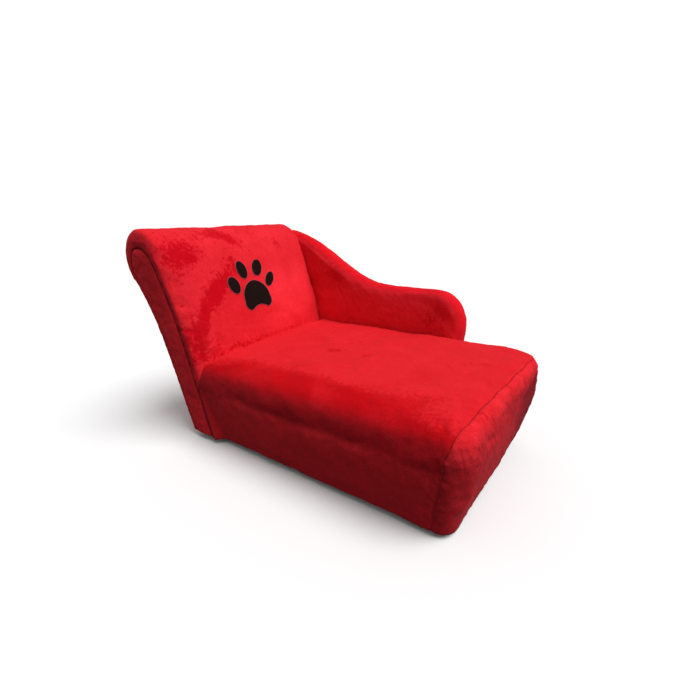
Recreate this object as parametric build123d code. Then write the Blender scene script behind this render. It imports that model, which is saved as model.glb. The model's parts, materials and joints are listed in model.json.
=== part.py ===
from build123d import *
import os
from math import asin, atan, cos, hypot, radians, sin, tan

# Pet chaise longue: a box seat, a back that leans and rolls over into a scroll, and one swept arm,
# all padded and covered in plush over a timber frame. Millimetres, +Z up, +X from the head to the
# foot, -Y the open side, +Y the arm. It is drawn from the foot of the back's face, in the middle
# of the seat, at the underside of the covers, and moved to the middle of its own box at the end.

# Covers and padding
cover = 2.5                     # plush with its backing
side_cover = 4.0                # side panels of the back, plush on thin foam
gap = 0.3                       # between covers that lie against each other
touch = 0.01                    # tolerance for picking edges
overrun = 30.0                  # how far a cutter runs past what it cuts

# Seat box
seat_length = 546.0             # from the back's face to the foot end
seat_width = 400.0
seat_height = 187.0             # along the arm, where the seat is fullest
seat_crown = 12.0               # the open edge starts to turn over this far below
crown_run = 250.0               # and the crown climbs over this width
seat_side_draw = 15.0           # the open side is pulled in this much at the bottom
seat_end_draw = 17.0            # and the foot end this much
seat_side_round = 50.0
seat_arm_round = 12.0
seat_end_round = 24.0
side_turn = 84.0                # degrees that the open edge turns before the crown takes over
seat_corner_low = 28.0          # upright corners of the foot end, at the bottom
seat_corner_high = 60.0         # and at the top
corner_limit_share = 0.45       # most that a corner may take of the width
end_seam_low = 33.0             # seam of the end panel, from the foot end, at the bottom
end_seam_middle = 36.0          # where it bends in over the shoulder
end_seam_shoulder = 141.0       # height of that bend
end_seam_top = 18.0             # on top
hem = 25.0                      # covers are turned under this far

# Back
back_height = 416.0
face_lean = 26.0                # the face leans this much up to the knee, where it starts to curve
face_knee = 190.0
base_depth = 91.0               # the back from front to rear at its foot
rear_lean = 33.0
rear_knee = 190.0
roll_radius = 57.0
roll_reach = 135.0              # middle of the roll, behind the foot of the face
back_edge_round = 10.0
back_pad = 18.0                 # cover and foam in front of the hardboard skin
back_rear_pad = 6.5
roll_pad_top = 27.0
roll_frame_radius = 41.0

# Arm
arm_thickness = 50.0
arm_reach = 373.0               # front of the arm, from the back's face
arm_height = 283.5              # the level stretch
arm_dip_x = 132.0               # where the slope would meet the level stretch
arm_dip_radius = 262.0
arm_shoulder_x = -29.0          # where the slope starts
arm_shoulder_clear = 11.5       # carried on, it would pass this far over the arm's roll
arm_nose_radius = 80.0
arm_roll_radius = 51.0
arm_rear_step = 4.0             # its rear edge stands this far inside the back's
arm_edge_round = 20.0
arm_pad = 12.0                  # foam between cover and frame, along the edge
arm_side_pad = 3.5              # and on both faces

# Timber frame
rail = 18.0                     # thickness of the seat rails
frame_pad = 6.0                 # wadding between the seat frame and the cover
deck_top = 118.0
deck = 9.0
frame_corner_cut = 14.0         # the foot corners are cut off inside the rounded cover
middle_rail_height = 53.0
block_side = 40.0               # corner blocks
side_board = 15.0               # plywood sides of the back
skin = 4.0                      # hardboard over the back
back_rail = 20.0
bottom_rail_height = 78.0
rear_rail_height = 60.0
mid_rail_gap = 57.0              # above the bottom rail
mid_rail_height = 45.0
top_rail = 32.0
packing_low = 14.0
packing_high = 100.0
packing_end = 50.0              # the packing board stops this far short of the sides
arm_board = 6.0
arm_rail = 26.0

# Underside
dust_cover = 0.8
dust_inset = 6.0
foot_height = 12.0
foot_radius = 13.0
foot_tip_radius = 10.5
foot_bore_radius = 5.0          # recess for the screw head
foot_bore_depth = 5.0
foot_end_inset = 15.0           # middle of a foot, from the bottom edge of the foot end
foot_side_inset = 50.0
foot_head_inset = 20.0          # from the rear edge of the back

# Fasteners
bolt_radius = 3.0
bolt_head_radius = 6.5
bolt_head = 4.0
washer_radius = 9.0
washer = 1.5
nut_flange_radius = 10.0
nut_flange = 1.5
nut_barrel_radius = 4.5
nut_barrel = 4.0
bolt_tail = 6.0                 # a bolt runs on this far past its nut's flange
back_bolt_height = 50.0
back_bolt_y = 120.0
arm_bolt_height = 60.0
arm_bolt_head = 70.0            # first bolt, from the back's face
arm_bolt_clear = 45.0           # second bolt, before the middle of the seat
screw_radius = 2.0
screw_head_radius = 4.0
screw_head = 2.5
foot_screw = 30.0
frame_screw = 45.0
block_screw_low = 32.0
block_screw_high = 84.0
end_screw_rise = 14.0           # screws through the foot rail pass above the others

# Paw motif on the back: felt patches on the face
felt = 1.2
pad_middle_y = -4.0
pad_drop = 167.5                # foot of the pad, below the top of the back
pad_width = 75.5
pad_height = 61.5
toe_width = 26.5
toe_length = 36.5
toe_place_shares = {             # of the pad's width from its middle, of its height from its foot
    "paw_toe_1": (-0.71, 0.93),
    "paw_toe_2": (-0.285, 1.38),
    "paw_toe_3": (0.30, 1.39),
    "paw_toe_4": (0.66, 0.96),
}
toe_width_shares = {"paw_toe_1": 1.07, "paw_toe_2": 1.04, "paw_toe_3": 1.0, "paw_toe_4": 0.81}
toe_leans = {"paw_toe_1": 25.0, "paw_toe_2": 12.0, "paw_toe_3": -35.0, "paw_toe_4": -45.0}

half = seat_width / 2
lean = face_lean / face_knee
lean_angle = atan(lean)
rear_slope = rear_lean / rear_knee
rear_angle = atan(rear_slope)
shoulder = seat_height - seat_crown - seat_side_round * sin(radians(side_turn))
roll_height = back_height - roll_radius
roll_rise = roll_height - arm_height
roll_run = arm_dip_x + roll_reach
arm_slope = atan(roll_rise / roll_run)
arm_slope += asin((arm_roll_radius + arm_shoulder_clear) / hypot(roll_run, roll_rise))
arm_dip_run = arm_dip_radius * sin(arm_slope) / (1 + cos(arm_slope))
roll_hub = Vector(-roll_reach, 0, roll_height)
roll_frame_hub = Vector(-roll_reach, 0, back_height - roll_pad_top - roll_frame_radius)
arm_near = half + gap
arm_far = arm_near + arm_thickness
parts = {}


def at(x, z):
    return Vector(x, 0, z)


def face_x(z, inset=0.0):
    """Face of the back at a height, moved in by an inset square to it."""
    return -lean * z - inset / cos(lean_angle)


def rear_x(z, inset=0.0):
    return -base_depth - rear_slope * z + inset / cos(rear_angle)


def block(x0, x1, y0, y1, z0, z1):
    return Pos((x0 + x1) / 2, (y0 + y1) / 2, (z0 + z1) / 2) * Box(x1 - x0, y1 - y0, z1 - z0)


def prism(face, y0, y1):
    return Pos(0, y0, 0) * extrude(face, amount=y1 - y0, dir=(0, 1, 0))


def polygon(*points):
    return Face(Wire(Polyline(*points, close=True).edges()))


def leaning(near, far, z0, z1, y0, y1):
    """Board parallel to the back's face, between two depths behind it."""
    face = polygon(
        at(face_x(z0, near), z0), at(face_x(z1, near), z1),
        at(face_x(z1, far), z1), at(face_x(z0, far), z0),
    )
    return prism(face, y0, y1)


def rear_leaning(near, far, z0, z1, y0, y1):
    """Board parallel to the rear of the back, between two depths in front of it."""
    face = polygon(
        at(rear_x(z0, near), z0), at(rear_x(z1, near), z1),
        at(rear_x(z1, far), z1), at(rear_x(z0, far), z0),
    )
    return prism(face, y0, y1)


def touching_arc(start, square, hub, radius, outside=False):
    """End of the arc that leaves start square to the given direction and touches a circle."""
    away = start - hub
    side = -1 if outside else 1
    size = (away.dot(away) - radius**2) / (-2 * square.dot(away) - 2 * side * radius)
    middle = start + square * size
    towards = (hub - middle).normalized()
    return hub + towards * radius * side


def scroll(front, rear, hub, radius, base):
    """Side outline of the back: leaning face, long curve, roll, hollow rear."""
    face_dir = at(-lean, 1).normalized()
    rear_dir = at(-rear_slope, 1).normalized()
    foot = at(face_x(base, front), base)
    knee = at(face_x(face_knee, front), face_knee)
    heel = at(rear_x(base, rear), base)
    waist = at(rear_x(rear_knee, rear), rear_knee)
    roll_front = touching_arc(knee, at(-face_dir.Z, face_dir.X), hub, radius)
    roll_rear = touching_arc(waist, at(-rear_dir.Z, rear_dir.X), hub, radius, outside=True)
    top = hub + at(0, radius)
    edges = [
        Line(foot, knee),
        TangentArc(knee, roll_front, tangent=face_dir),
        ThreePointArc(roll_front, hub + (roll_front + top - hub * 2).normalized() * radius, top),
        ThreePointArc(top, hub + at(-radius, 0), roll_rear),
        TangentArc(waist, roll_rear, tangent=rear_dir),
        Line(waist, heel),
        Line(heel, foot),
    ]
    return Face(Wire([edge.edge() for edge in edges]))


def arm_outline(base):
    """Side outline of the arm: nose, level stretch, dip, slope, shoulder, roll, rear."""
    down = at(cos(arm_slope), -sin(arm_slope))
    rear_dir = at(-rear_slope, 1).normalized()
    corner = at(arm_dip_x, arm_height)
    dip_start = corner - down * arm_dip_run
    dip_end = corner + at(arm_dip_run, 0)
    shoulder_top = at(arm_shoulder_x, arm_height + (arm_dip_x - arm_shoulder_x) * tan(arm_slope))
    roll_front = touching_arc(
        shoulder_top, at(-sin(arm_slope), -cos(arm_slope)), roll_hub, arm_roll_radius
    )
    waist = at(rear_x(rear_knee, arm_rear_step), rear_knee)
    roll_rear = touching_arc(
        waist, at(-rear_dir.Z, rear_dir.X), roll_hub, arm_roll_radius, outside=True
    )
    nose_top = at(arm_reach - arm_nose_radius, arm_height)
    nose_front = at(arm_reach, arm_height - arm_nose_radius)
    front_foot = at(arm_reach, base)
    heel = at(rear_x(base, arm_rear_step), base)
    edges = [
        Line(front_foot, nose_front),
        TangentArc(nose_front, nose_top, tangent=at(0, 1)),
        Line(nose_top, dip_end),
        TangentArc(dip_end, dip_start, tangent=at(-1, 0)),
        Line(dip_start, shoulder_top),
        TangentArc(shoulder_top, roll_front, tangent=down * -1),
        ThreePointArc(roll_front, roll_hub + at(-arm_roll_radius, 0), roll_rear),
        TangentArc(waist, roll_rear, tangent=rear_dir),
        Line(waist, heel),
        Line(heel, front_foot),
    ]
    return Face(Wire([edge.edge() for edge in edges]))


def inset_face(face, amount):
    return offset(face, amount=-amount, kind=Kind.INTERSECTION).face()


def soften(solid, radius):
    """Round both side edges all along, except at the foot."""
    low = solid.bounding_box().min.Z + touch
    ends = solid.faces().sort_by(Axis.Y)
    edges = [e for e in ends[0].edges() + ends[-1].edges() if e.center().Z > low]
    return fillet(edges, radius)


def seat_level(z, x0, x1, y0, y1, corner):
    """Level outline of the seat: square against the back, rounded at the foot end."""
    turn = corner * (1 - cos(radians(45)))
    edges = [
        Line((x0, y0, z), (x1 - corner, y0, z)),
        ThreePointArc((x1 - corner, y0, z), (x1 - turn, y0 + turn, z), (x1, y0 + corner, z)),
        Line((x1, y0 + corner, z), (x1, y1 - corner, z)),
        ThreePointArc((x1, y1 - corner, z), (x1 - turn, y1 - turn, z), (x1 - corner, y1, z)),
        Line((x1 - corner, y1, z), (x0, y1, z)),
        Line((x0, y1, z), (x0, y0, z)),
    ]
    return Face(Wire([edge.edge() for edge in edges]))


def edge_inset(z, turn_radius, inset):
    """How far a quarter round at the top of the seat lies inside the side at a height."""
    rise = z - (seat_height - turn_radius)
    if rise <= 0:
        return inset
    return turn_radius - max(0.0, (turn_radius - inset) ** 2 - rise**2) ** 0.5


def seat_form(inset, behind):
    """Seat box, smaller by an inset and carried on behind the back's face: the sides swell up to
    the shoulder, the open side turns over in a large round, and a low crown climbs to the arm."""
    swell, turn_over, crown = [], [], []
    for height_share, draw_share in ((0.0, 1.0), (0.5, 0.4), (1.0, 0.0)):
        z = inset + (shoulder - inset) * height_share
        swell.append((z, inset + seat_side_draw * draw_share, seat_end_draw * draw_share, height_share))
    for turn_share in (0.0, 1 / 3, 2 / 3, 1.0):
        turn = radians(side_turn * turn_share)
        side = seat_side_round - (seat_side_round - inset) * cos(turn)
        turn_over.append((shoulder + (seat_side_round - inset) * sin(turn), side, 0.0, 1.0))
    edge, edge_side = turn_over[-1][:2]
    for run_share in (0.0, 0.15, 0.35, 0.6, 0.9):
        z = edge + (seat_height - inset - edge) * (1 - (1 - run_share) ** 2)
        crown.append((z, edge_side + crown_run * run_share, 0.0, 1.0))
    form = Part()
    for levels in (swell, turn_over, crown):
        faces = []
        for z, side, end_draw, corner_share in levels:
            y0 = -half + side
            y1 = half - edge_inset(z, seat_arm_round, inset)
            corner = seat_corner_low + (seat_corner_high - seat_corner_low) * corner_share - inset
            faces.append(seat_level(
                z, face_x(z) - behind, seat_length - end_draw - edge_inset(z, seat_end_round, inset),
                y0, y1, min(corner, (y1 - y0) * corner_limit_share),
            ))
        form += loft(faces, ruled=levels is crown)
    return form


def fastener(place, axis, length, radius, head_radius, head):
    """Shank along an axis from the underside of its head."""
    plane = Plane(origin=place, z_dir=axis)
    shank = plane * Pos(0, 0, length / 2) * Cylinder(radius, length)
    cap = plane * Pos(0, 0, -head / 2) * Cylinder(head_radius, head)
    return shank + cap


def cut(names, tool):
    for name in names:
        parts[name] = parts[name] - tool


# Seat: outer form, its inside, and the space behind the face of the back
seat_outer = seat_form(0.0, -gap)
seat_inner = seat_form(cover, overrun)
behind_face = prism(polygon(
    at(face_x(-overrun) + gap, -overrun),
    at(face_x(seat_height + overrun) + gap, seat_height + overrun),
    at(-overrun * 3, seat_height + overrun),
    at(-overrun * 3, -overrun),
), -half - overrun, half + overrun)
padding = seat_inner - behind_face

frame_open = -half + seat_side_draw + cover + frame_pad
frame_arm = half - cover - frame_pad
frame_foot = seat_length - seat_end_draw - cover - frame_pad
deck_low = deck_top - deck
below_deck = block(-overrun, seat_length + overrun, -half - overrun, half + overrun, -overrun, deck_top)
frame_box = block(-overrun * 2, frame_foot, frame_open, frame_arm, -overrun, deck_top)
frame_corners = Part()
for y, inward in ((frame_open, 1), (frame_arm, -1)):
    corner = Face(Wire(Polyline(
        (frame_foot, y, -overrun),
        (frame_foot, y + inward * frame_corner_cut, -overrun),
        (frame_foot - frame_corner_cut, y, -overrun),
        close=True,
    ).edges()))
    frame_corners += extrude(corner, amount=deck_top + overrun, dir=(0, 0, 1))
frame_box -= frame_corners

seat_shell = seat_outer - seat_inner
seat_shell -= block(
    -overrun, seat_length - seat_end_draw - hem,
    -half + seat_side_draw + hem, half - hem, -overrun, cover + touch,
)
end_panel = prism(polygon(
    at(seat_length - seat_end_draw - end_seam_low, -overrun),
    at(seat_length - seat_end_draw - end_seam_low, 0),
    at(seat_length - end_seam_middle, end_seam_shoulder),
    at(seat_length - end_seam_top, seat_height),
    at(seat_length - end_seam_top, seat_height + overrun),
    at(seat_length + overrun, seat_height + overrun),
    at(seat_length + overrun, -overrun),
), -half - overrun, half + overrun)
parts["seat_cover"] = seat_shell - end_panel
parts["foot_end_cover"] = seat_shell & end_panel
parts["seat_foam"] = padding - below_deck
wadding = (padding & below_deck) - frame_box
wadding_split = frame_foot - frame_corner_cut
parts["seat_wadding_open"] = wadding & block(
    -overrun * 2, wadding_split, -half - overrun, frame_open, 0, deck_top
)
parts["seat_wadding_arm"] = wadding & block(
    -overrun * 2, wadding_split, frame_arm, half + overrun, 0, deck_top
)
parts["seat_wadding_foot"] = wadding & block(
    wadding_split, seat_length, -half, half, 0, deck_top
)

# Seat frame
parts["seat_rail_open"] = block(
    -overrun, frame_foot, frame_open, frame_open + rail, cover, deck_low
) - behind_face
parts["seat_rail_arm"] = block(
    -overrun, frame_foot, frame_arm - rail, frame_arm, cover, deck_low
) - behind_face
parts["seat_rail_foot"] = block(
    frame_foot - rail, frame_foot, frame_open + rail, frame_arm - rail, cover, deck_low
)
parts["seat_rail_head"] = leaning(
    -gap * cos(lean_angle), -gap * cos(lean_angle) - rail, cover, deck_low,
    frame_open + rail, frame_arm - rail,
)
middle_x = frame_foot / 2
parts["seat_rail_middle"] = block(
    middle_x - rail / 2, middle_x + rail / 2, frame_open + rail, frame_arm - rail,
    deck_low - middle_rail_height, deck_low,
)
parts["seat_deck"] = block(
    -overrun, frame_foot, frame_open, frame_arm, deck_low, deck_top
) - behind_face
cut(["seat_rail_open", "seat_rail_arm", "seat_deck"], frame_corners)
blocks = Part()
head_block = face_x(cover) + gap + rail / cos(lean_angle)
foot_block = frame_foot - rail - block_side
open_block = frame_open + rail
arm_block = frame_arm - rail - block_side
for x0 in (head_block, foot_block):
    for y0 in (open_block, arm_block):
        blocks += block(x0, x0 + block_side, y0, y0 + block_side, cover, deck_low)
parts["corner_blocks"] = blocks

# Back
back_outer = soften(prism(scroll(0.0, 0.0, roll_hub, roll_radius, 0.0), -half, half), back_edge_round)
back_inner = soften(
    prism(scroll(cover, cover, roll_hub, roll_radius - cover, cover), -half + cover, half - cover),
    back_edge_round - cover,
)
skin_face = scroll(back_pad, back_rear_pad, roll_frame_hub, roll_frame_radius, cover)
side_face = scroll(
    back_pad + skin, back_rear_pad + skin, roll_frame_hub, roll_frame_radius - skin, cover
)
open_side = prism(skin_face, -half - overrun, -half + side_cover)
arm_side = prism(skin_face, half - side_cover, half + overrun)
parts["back_side_cover_open"] = back_outer & open_side
parts["back_side_cover_arm"] = back_outer & arm_side
back_shell = back_outer - back_inner - open_side - arm_side
back_shell -= block(
    rear_x(0) + hem, face_x(0) - hem, -half + hem, half - hem, -overrun, cover + touch
)
parts["back_cover"] = back_shell
board_ends = half - side_cover
rear_zone = prism(polygon(
    at(-base_depth * 2, -overrun),
    at(-base_depth / 2, -overrun),
    at(roll_hub.X, roll_frame_hub.Z),
    at(roll_hub.X - roll_radius * 2, roll_frame_hub.Z),
), -half - overrun, half + overrun)
back_padding = back_inner - prism(skin_face, -half - overrun, half + overrun)
parts["back_foam"] = back_padding - rear_zone
parts["back_rear_wadding"] = back_padding & rear_zone
skin_shell = prism(skin_face, -board_ends, board_ends)
skin_shell -= prism(side_face, -half - overrun, half + overrun)
parts["back_front_skin"] = skin_shell - rear_zone
parts["back_rear_board"] = skin_shell & rear_zone
side_inner = board_ends - side_board
parts["back_side_board_open"] = prism(side_face, -board_ends, -side_inner)
parts["back_side_board_arm"] = prism(side_face, side_inner, board_ends)
inside = back_pad + skin
parts["back_bottom_rail"] = leaning(
    inside, inside + back_rail, cover, bottom_rail_height, -side_inner, side_inner
)
mid_rail_foot = bottom_rail_height + mid_rail_gap
parts["back_mid_rail"] = leaning(
    inside, inside + back_rail, mid_rail_foot, mid_rail_foot + mid_rail_height, -side_inner, side_inner
)
rear_inside = back_rear_pad + skin
parts["back_rear_rail"] = rear_leaning(
    rear_inside, rear_inside + back_rail, cover, rear_rail_height, -side_inner, side_inner
)
parts["back_top_rail"] = block(
    roll_frame_hub.X - top_rail / 2, roll_frame_hub.X + top_rail / 2, -side_inner, side_inner,
    roll_frame_hub.Z - top_rail / 2, roll_frame_hub.Z + top_rail / 2,
)
parts["back_packing"] = leaning(
    cover, back_pad, packing_low, packing_high, -half + packing_end, half - packing_end
)
cut(["back_foam"], parts["back_packing"])

# Arm
arm_face = arm_outline(0.0)
arm_outer = soften(prism(arm_face, arm_near, arm_far), arm_edge_round)
arm_inner = soften(
    prism(inset_face(arm_face, cover), arm_near + cover, arm_far - cover), arm_edge_round - cover
)
parts["arm_cover"] = arm_outer - arm_inner
frame_inset = cover + arm_pad
arm_frame_face = inset_face(arm_outline(cover - frame_inset), frame_inset)
boards_near = arm_near + cover + arm_side_pad
boards_far = arm_far - cover - arm_side_pad
parts["arm_foam"] = arm_inner - prism(arm_frame_face, boards_near, boards_far)
parts["arm_inner_board"] = prism(arm_frame_face, boards_near, boards_near + arm_board)
parts["arm_outer_board"] = prism(arm_frame_face, boards_far - arm_board, boards_far)
core_near = boards_near + arm_board
core_far = boards_far - arm_board
arm_front = arm_reach - frame_inset
arm_top = arm_height - frame_inset
arm_heel = rear_x(cover, arm_rear_step + frame_inset)
parts["arm_front_post"] = block(
    arm_front - arm_rail, arm_front, core_near, core_far, cover, arm_height - arm_nose_radius
)
parts["arm_bottom_rail"] = block(
    arm_heel, arm_front - arm_rail, core_near, core_far, cover, cover + arm_bolt_height + arm_rail
)
parts["arm_top_rail"] = block(
    arm_dip_x + arm_dip_run, arm_reach - arm_nose_radius, core_near, core_far, arm_top - arm_rail, arm_top
)
parts["arm_rear_post"] = rear_leaning(
    arm_rear_step + frame_inset, arm_rear_step + frame_inset + arm_rail,
    cover + arm_bolt_height + arm_rail, rear_knee, core_near, core_far,
)

# Underside: one dust cover under seat and back, four feet
dust_low = -dust_cover
bottom_foot = seat_length - seat_end_draw
parts["dust_cover"] = block(
    rear_x(0) + dust_inset, bottom_foot - dust_inset,
    -half + seat_side_draw + dust_inset, half - dust_inset, dust_low, 0,
)
foot_profile = polygon(
    at(foot_bore_radius, dust_low - foot_height + foot_bore_depth),
    at(foot_bore_radius, dust_low - foot_height),
    at(foot_tip_radius, dust_low - foot_height),
    at(foot_radius, dust_low - foot_height / 2),
    at(foot_radius, dust_low),
    at(0, dust_low),
    at(0, dust_low - foot_height + foot_bore_depth),
)
foot = revolve(foot_profile, Axis.Z, 360)
foot_places = {
    "foot_1": (bottom_foot - foot_end_inset, -half + foot_side_inset + seat_side_draw),
    "foot_2": (bottom_foot - foot_end_inset, half - foot_side_inset),
    "foot_3": (rear_x(0) + foot_head_inset, -half + foot_side_inset),
    "foot_4": (rear_x(0) + foot_head_inset, half - foot_side_inset),
}
foot_screws = Part()
for name, (x, y) in foot_places.items():
    parts[name] = Pos(x, y, 0) * foot
    foot_screws += fastener(
        (x, y, dust_low - foot_height + foot_bore_depth), (0, 0, 1), foot_screw,
        screw_radius, screw_head_radius, screw_head,
    )
parts["foot_screws"] = foot_screws
cut(
    ["foot_1", "foot_2", "foot_3", "foot_4", "dust_cover", "seat_cover", "foot_end_cover", "back_cover",
     "seat_rail_foot", "corner_blocks", "seat_rail_open", "seat_rail_arm", "back_rear_rail"],
    foot_screws,
)

# Bolts through the seat's head rail into the back, with washers and tee nuts
bolt_axis = Vector(-cos(lean_angle), 0, -sin(lean_angle))
back_stack = rail + gap * cos(lean_angle) + inside + back_rail
back_bolts, back_washers, back_nuts = Part(), Part(), Part()


def bolt_set(start, axis, stack):
    """Bolt, washer and tee nut through a stack that begins at start."""
    plane = Plane(origin=start, z_dir=axis)
    bolt = fastener(
        start - axis * washer, axis, washer + stack + bolt_tail, bolt_radius, bolt_head_radius,
        bolt_head,
    )
    ring = plane * Pos(0, 0, -washer / 2) * (
        Cylinder(washer_radius, washer) - Cylinder(bolt_radius, washer)
    )
    flange = plane * Pos(0, 0, stack + nut_flange / 2) * Cylinder(nut_flange_radius, nut_flange)
    barrel = plane * Pos(0, 0, stack - nut_barrel / 2) * Cylinder(nut_barrel_radius, nut_barrel)
    nut = flange + barrel - bolt
    return bolt, ring, nut


for side in (-1, 1):
    start = Vector(
        face_x(back_bolt_height) + (gap * cos(lean_angle) + rail) / cos(lean_angle),
        side * back_bolt_y, back_bolt_height,
    )
    bolt, ring, nut = bolt_set(start, bolt_axis, back_stack)
    back_bolts += bolt
    back_washers += ring
    back_nuts += nut
parts["back_bolts"] = back_bolts
parts["back_washers"] = back_washers
parts["back_tee_nuts"] = back_nuts
cut(["seat_rail_head", "back_cover", "back_packing", "back_front_skin", "back_bottom_rail"], back_bolts)
cut(["back_bottom_rail"], back_nuts)

# Bolts through the seat's arm rail into the arm
arm_stack = rail + (boards_near + arm_board) - frame_arm
arm_bolts, arm_washers, arm_nuts = Part(), Part(), Part()
for x in (arm_bolt_head, middle_x - arm_bolt_clear):
    bolt, ring, nut = bolt_set(
        Vector(x, frame_arm - rail, arm_bolt_height), Vector(0, 1, 0), arm_stack
    )
    arm_bolts += bolt
    arm_washers += ring
    arm_nuts += nut
parts["arm_bolts"] = arm_bolts
parts["arm_washers"] = arm_washers
parts["arm_tee_nuts"] = arm_nuts
cut(["seat_rail_arm", "seat_wadding_arm", "seat_cover", "arm_cover", "arm_foam", "arm_inner_board"],
    arm_bolts)
cut(["arm_inner_board", "arm_bottom_rail"], arm_nuts)
cut(["arm_bottom_rail"], arm_bolts)

# Screws through the rails into the corner blocks
frame_screws = Part()
for z in (block_screw_low, block_screw_high):
    for x in (head_block + block_side / 2, foot_block + block_side / 2):
        for y, inward in ((frame_open, 1), (frame_arm, -1)):
            frame_screws += fastener(
                (x, y + inward * screw_head, z), (0, inward, 0),
                frame_screw, screw_radius, screw_head_radius, screw_head,
            )
    for y in (open_block + block_side / 2, arm_block + block_side / 2):
        frame_screws += fastener(
            (frame_foot - screw_head, y, z + end_screw_rise), (-1, 0, 0),
            frame_screw, screw_radius, screw_head_radius, screw_head,
        )
parts["frame_screws"] = frame_screws
cut(["seat_rail_open", "seat_rail_arm", "seat_rail_foot", "corner_blocks"], frame_screws)

# Paw motif: felt cut to shape and laid on the curved face
felt_layer = prism(
    scroll(-felt, -felt, roll_hub, roll_radius + felt, 0.0), -half + overrun, half - overrun
) - prism(scroll(0.0, 0.0, roll_hub, roll_radius, 0.0), -half, half)


def felt_patch(shape):
    """Shape drawn looking at the face, laid on it, and cut off short of the rear of the back."""
    plane = Plane(origin=(overrun, 0, 0), x_dir=(0, 1, 0), z_dir=(1, 0, 0))
    depth = overrun + roll_reach - roll_radius / 2
    return felt_layer & extrude(plane * shape, amount=depth, dir=(-1, 0, 0))


pad_low = back_height - pad_drop
for name, (side_share, rise_share) in toe_place_shares.items():
    toe = Rot(0, 0, toe_leans[name]) * Ellipse(toe_width_shares[name] * toe_width / 2, toe_length / 2)
    parts[name] = felt_patch(
        Pos(pad_middle_y + side_share * pad_width, pad_low + rise_share * pad_height) * toe
    )
pad_shares = (                  # start, middle and end of each arc, of the half width and the height
    ((-1.0, 0.36), (0.06, 1.0), (1.0, 0.42)),
    ((1.0, 0.42), (0.95, 0.16), (0.61, 0.04)),
    ((0.61, 0.04), (0.07, 0.16), (-0.56, 0.03)),
    ((-0.56, 0.03), (-0.93, 0.1), (-1.0, 0.36)),
)
pad_outline = [
    ThreePointArc(*[(y * pad_width / 2, z * pad_height) for y, z in arc]) for arc in pad_shares
]
parts["paw_pad"] = felt_patch(
    Pos(pad_middle_y, pad_low) * Face(Wire([edge.edge() for edge in pad_outline]))
)

# Move to the middle of the whole box, feet on the ground, and write
rear_end = roll_hub.X - roll_radius
to_origin = Pos(
    -(rear_end + seat_length) / 2, -(-half + arm_far) / 2, foot_height + dust_cover
)
os.makedirs("parts", exist_ok=True)
for name, shape in parts.items():
    export_step(to_origin * shape, f"parts/{name}.step")
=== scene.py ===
import json

import bpy
import numpy as np
from mathutils import Matrix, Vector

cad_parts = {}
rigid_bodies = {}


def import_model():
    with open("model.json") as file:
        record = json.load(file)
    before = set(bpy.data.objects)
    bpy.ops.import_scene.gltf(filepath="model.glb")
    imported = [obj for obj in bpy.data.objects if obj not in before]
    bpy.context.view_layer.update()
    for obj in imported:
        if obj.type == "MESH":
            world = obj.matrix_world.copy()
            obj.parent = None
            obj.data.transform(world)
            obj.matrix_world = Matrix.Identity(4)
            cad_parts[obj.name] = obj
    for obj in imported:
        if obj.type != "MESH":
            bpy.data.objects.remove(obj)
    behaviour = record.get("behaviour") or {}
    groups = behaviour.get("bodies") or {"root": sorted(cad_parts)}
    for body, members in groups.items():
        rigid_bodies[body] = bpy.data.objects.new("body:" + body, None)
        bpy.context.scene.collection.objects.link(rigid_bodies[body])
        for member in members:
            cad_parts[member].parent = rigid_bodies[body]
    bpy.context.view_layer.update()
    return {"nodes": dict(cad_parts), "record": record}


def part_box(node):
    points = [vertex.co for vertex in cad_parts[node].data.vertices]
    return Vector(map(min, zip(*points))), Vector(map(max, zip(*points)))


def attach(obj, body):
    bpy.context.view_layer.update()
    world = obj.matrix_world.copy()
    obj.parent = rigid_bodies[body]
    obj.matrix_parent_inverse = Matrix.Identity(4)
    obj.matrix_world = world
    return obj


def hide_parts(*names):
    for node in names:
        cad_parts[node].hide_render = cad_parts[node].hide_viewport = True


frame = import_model()

# Sizes read from the frame, in metres. Surfaces are drawn from the foot of the back's face, in the
# middle of the seat, at the underside of the covers: x to the foot end, y to the arm, z up.
seat_low, seat_high = (np.array(corner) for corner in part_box("seat_cover"))
back_low, back_high = (np.array(corner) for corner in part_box("back_cover"))
arm_low, arm_high = (np.array(corner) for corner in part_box("arm_cover"))
end_high = np.array(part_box("foot_end_cover")[1])
ORIGIN = np.array((back_high[0], (seat_low[1] + seat_high[1]) / 2, back_low[2]))
HALF = (seat_high[1] - seat_low[1]) / 2
SEAT_LENGTH = end_high[0] - ORIGIN[0]
SEAT_HEIGHT = seat_high[2] - ORIGIN[2]
BACK_HEIGHT = back_high[2] - ORIGIN[2]
BACK_REACH = ORIGIN[0] - back_low[0]
ARM_REACH = arm_high[0] - ORIGIN[0]
ARM_NEAR = arm_low[1] - ORIGIN[1]
ARM_FAR = arm_high[1] - ORIGIN[1]
ARM_MIDDLE = (ARM_NEAR + ARM_FAR) / 2

# Seat
SEAT_CROWN = 0.012
CROWN_RUN = 0.250
SIDE_DRAW = 0.015
END_DRAW = 0.017
DRAW_POWER = 1.32
SIDE_ROUND = 0.050
SIDE_TURN = np.radians(84)
ARM_ROUND = 0.012
SHOULDER = SEAT_HEIGHT - SEAT_CROWN - SIDE_ROUND * np.sin(SIDE_TURN)
RIM_LOW, RIM_SHOULDER, RIM_TURN, RIM_TOP = 0.028, 0.046, 0.029, 0.024
RIM_ARM_TOP, RIM_ARM_LOW, RIM_ROUND = 0.036, 0.028, 0.010
SEAM_LOW, SEAM_MIDDLE, SEAM_TOP = 0.033, 0.036, 0.018
SEAM_BEND = 0.141
END_FULL = 0.0035

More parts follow.
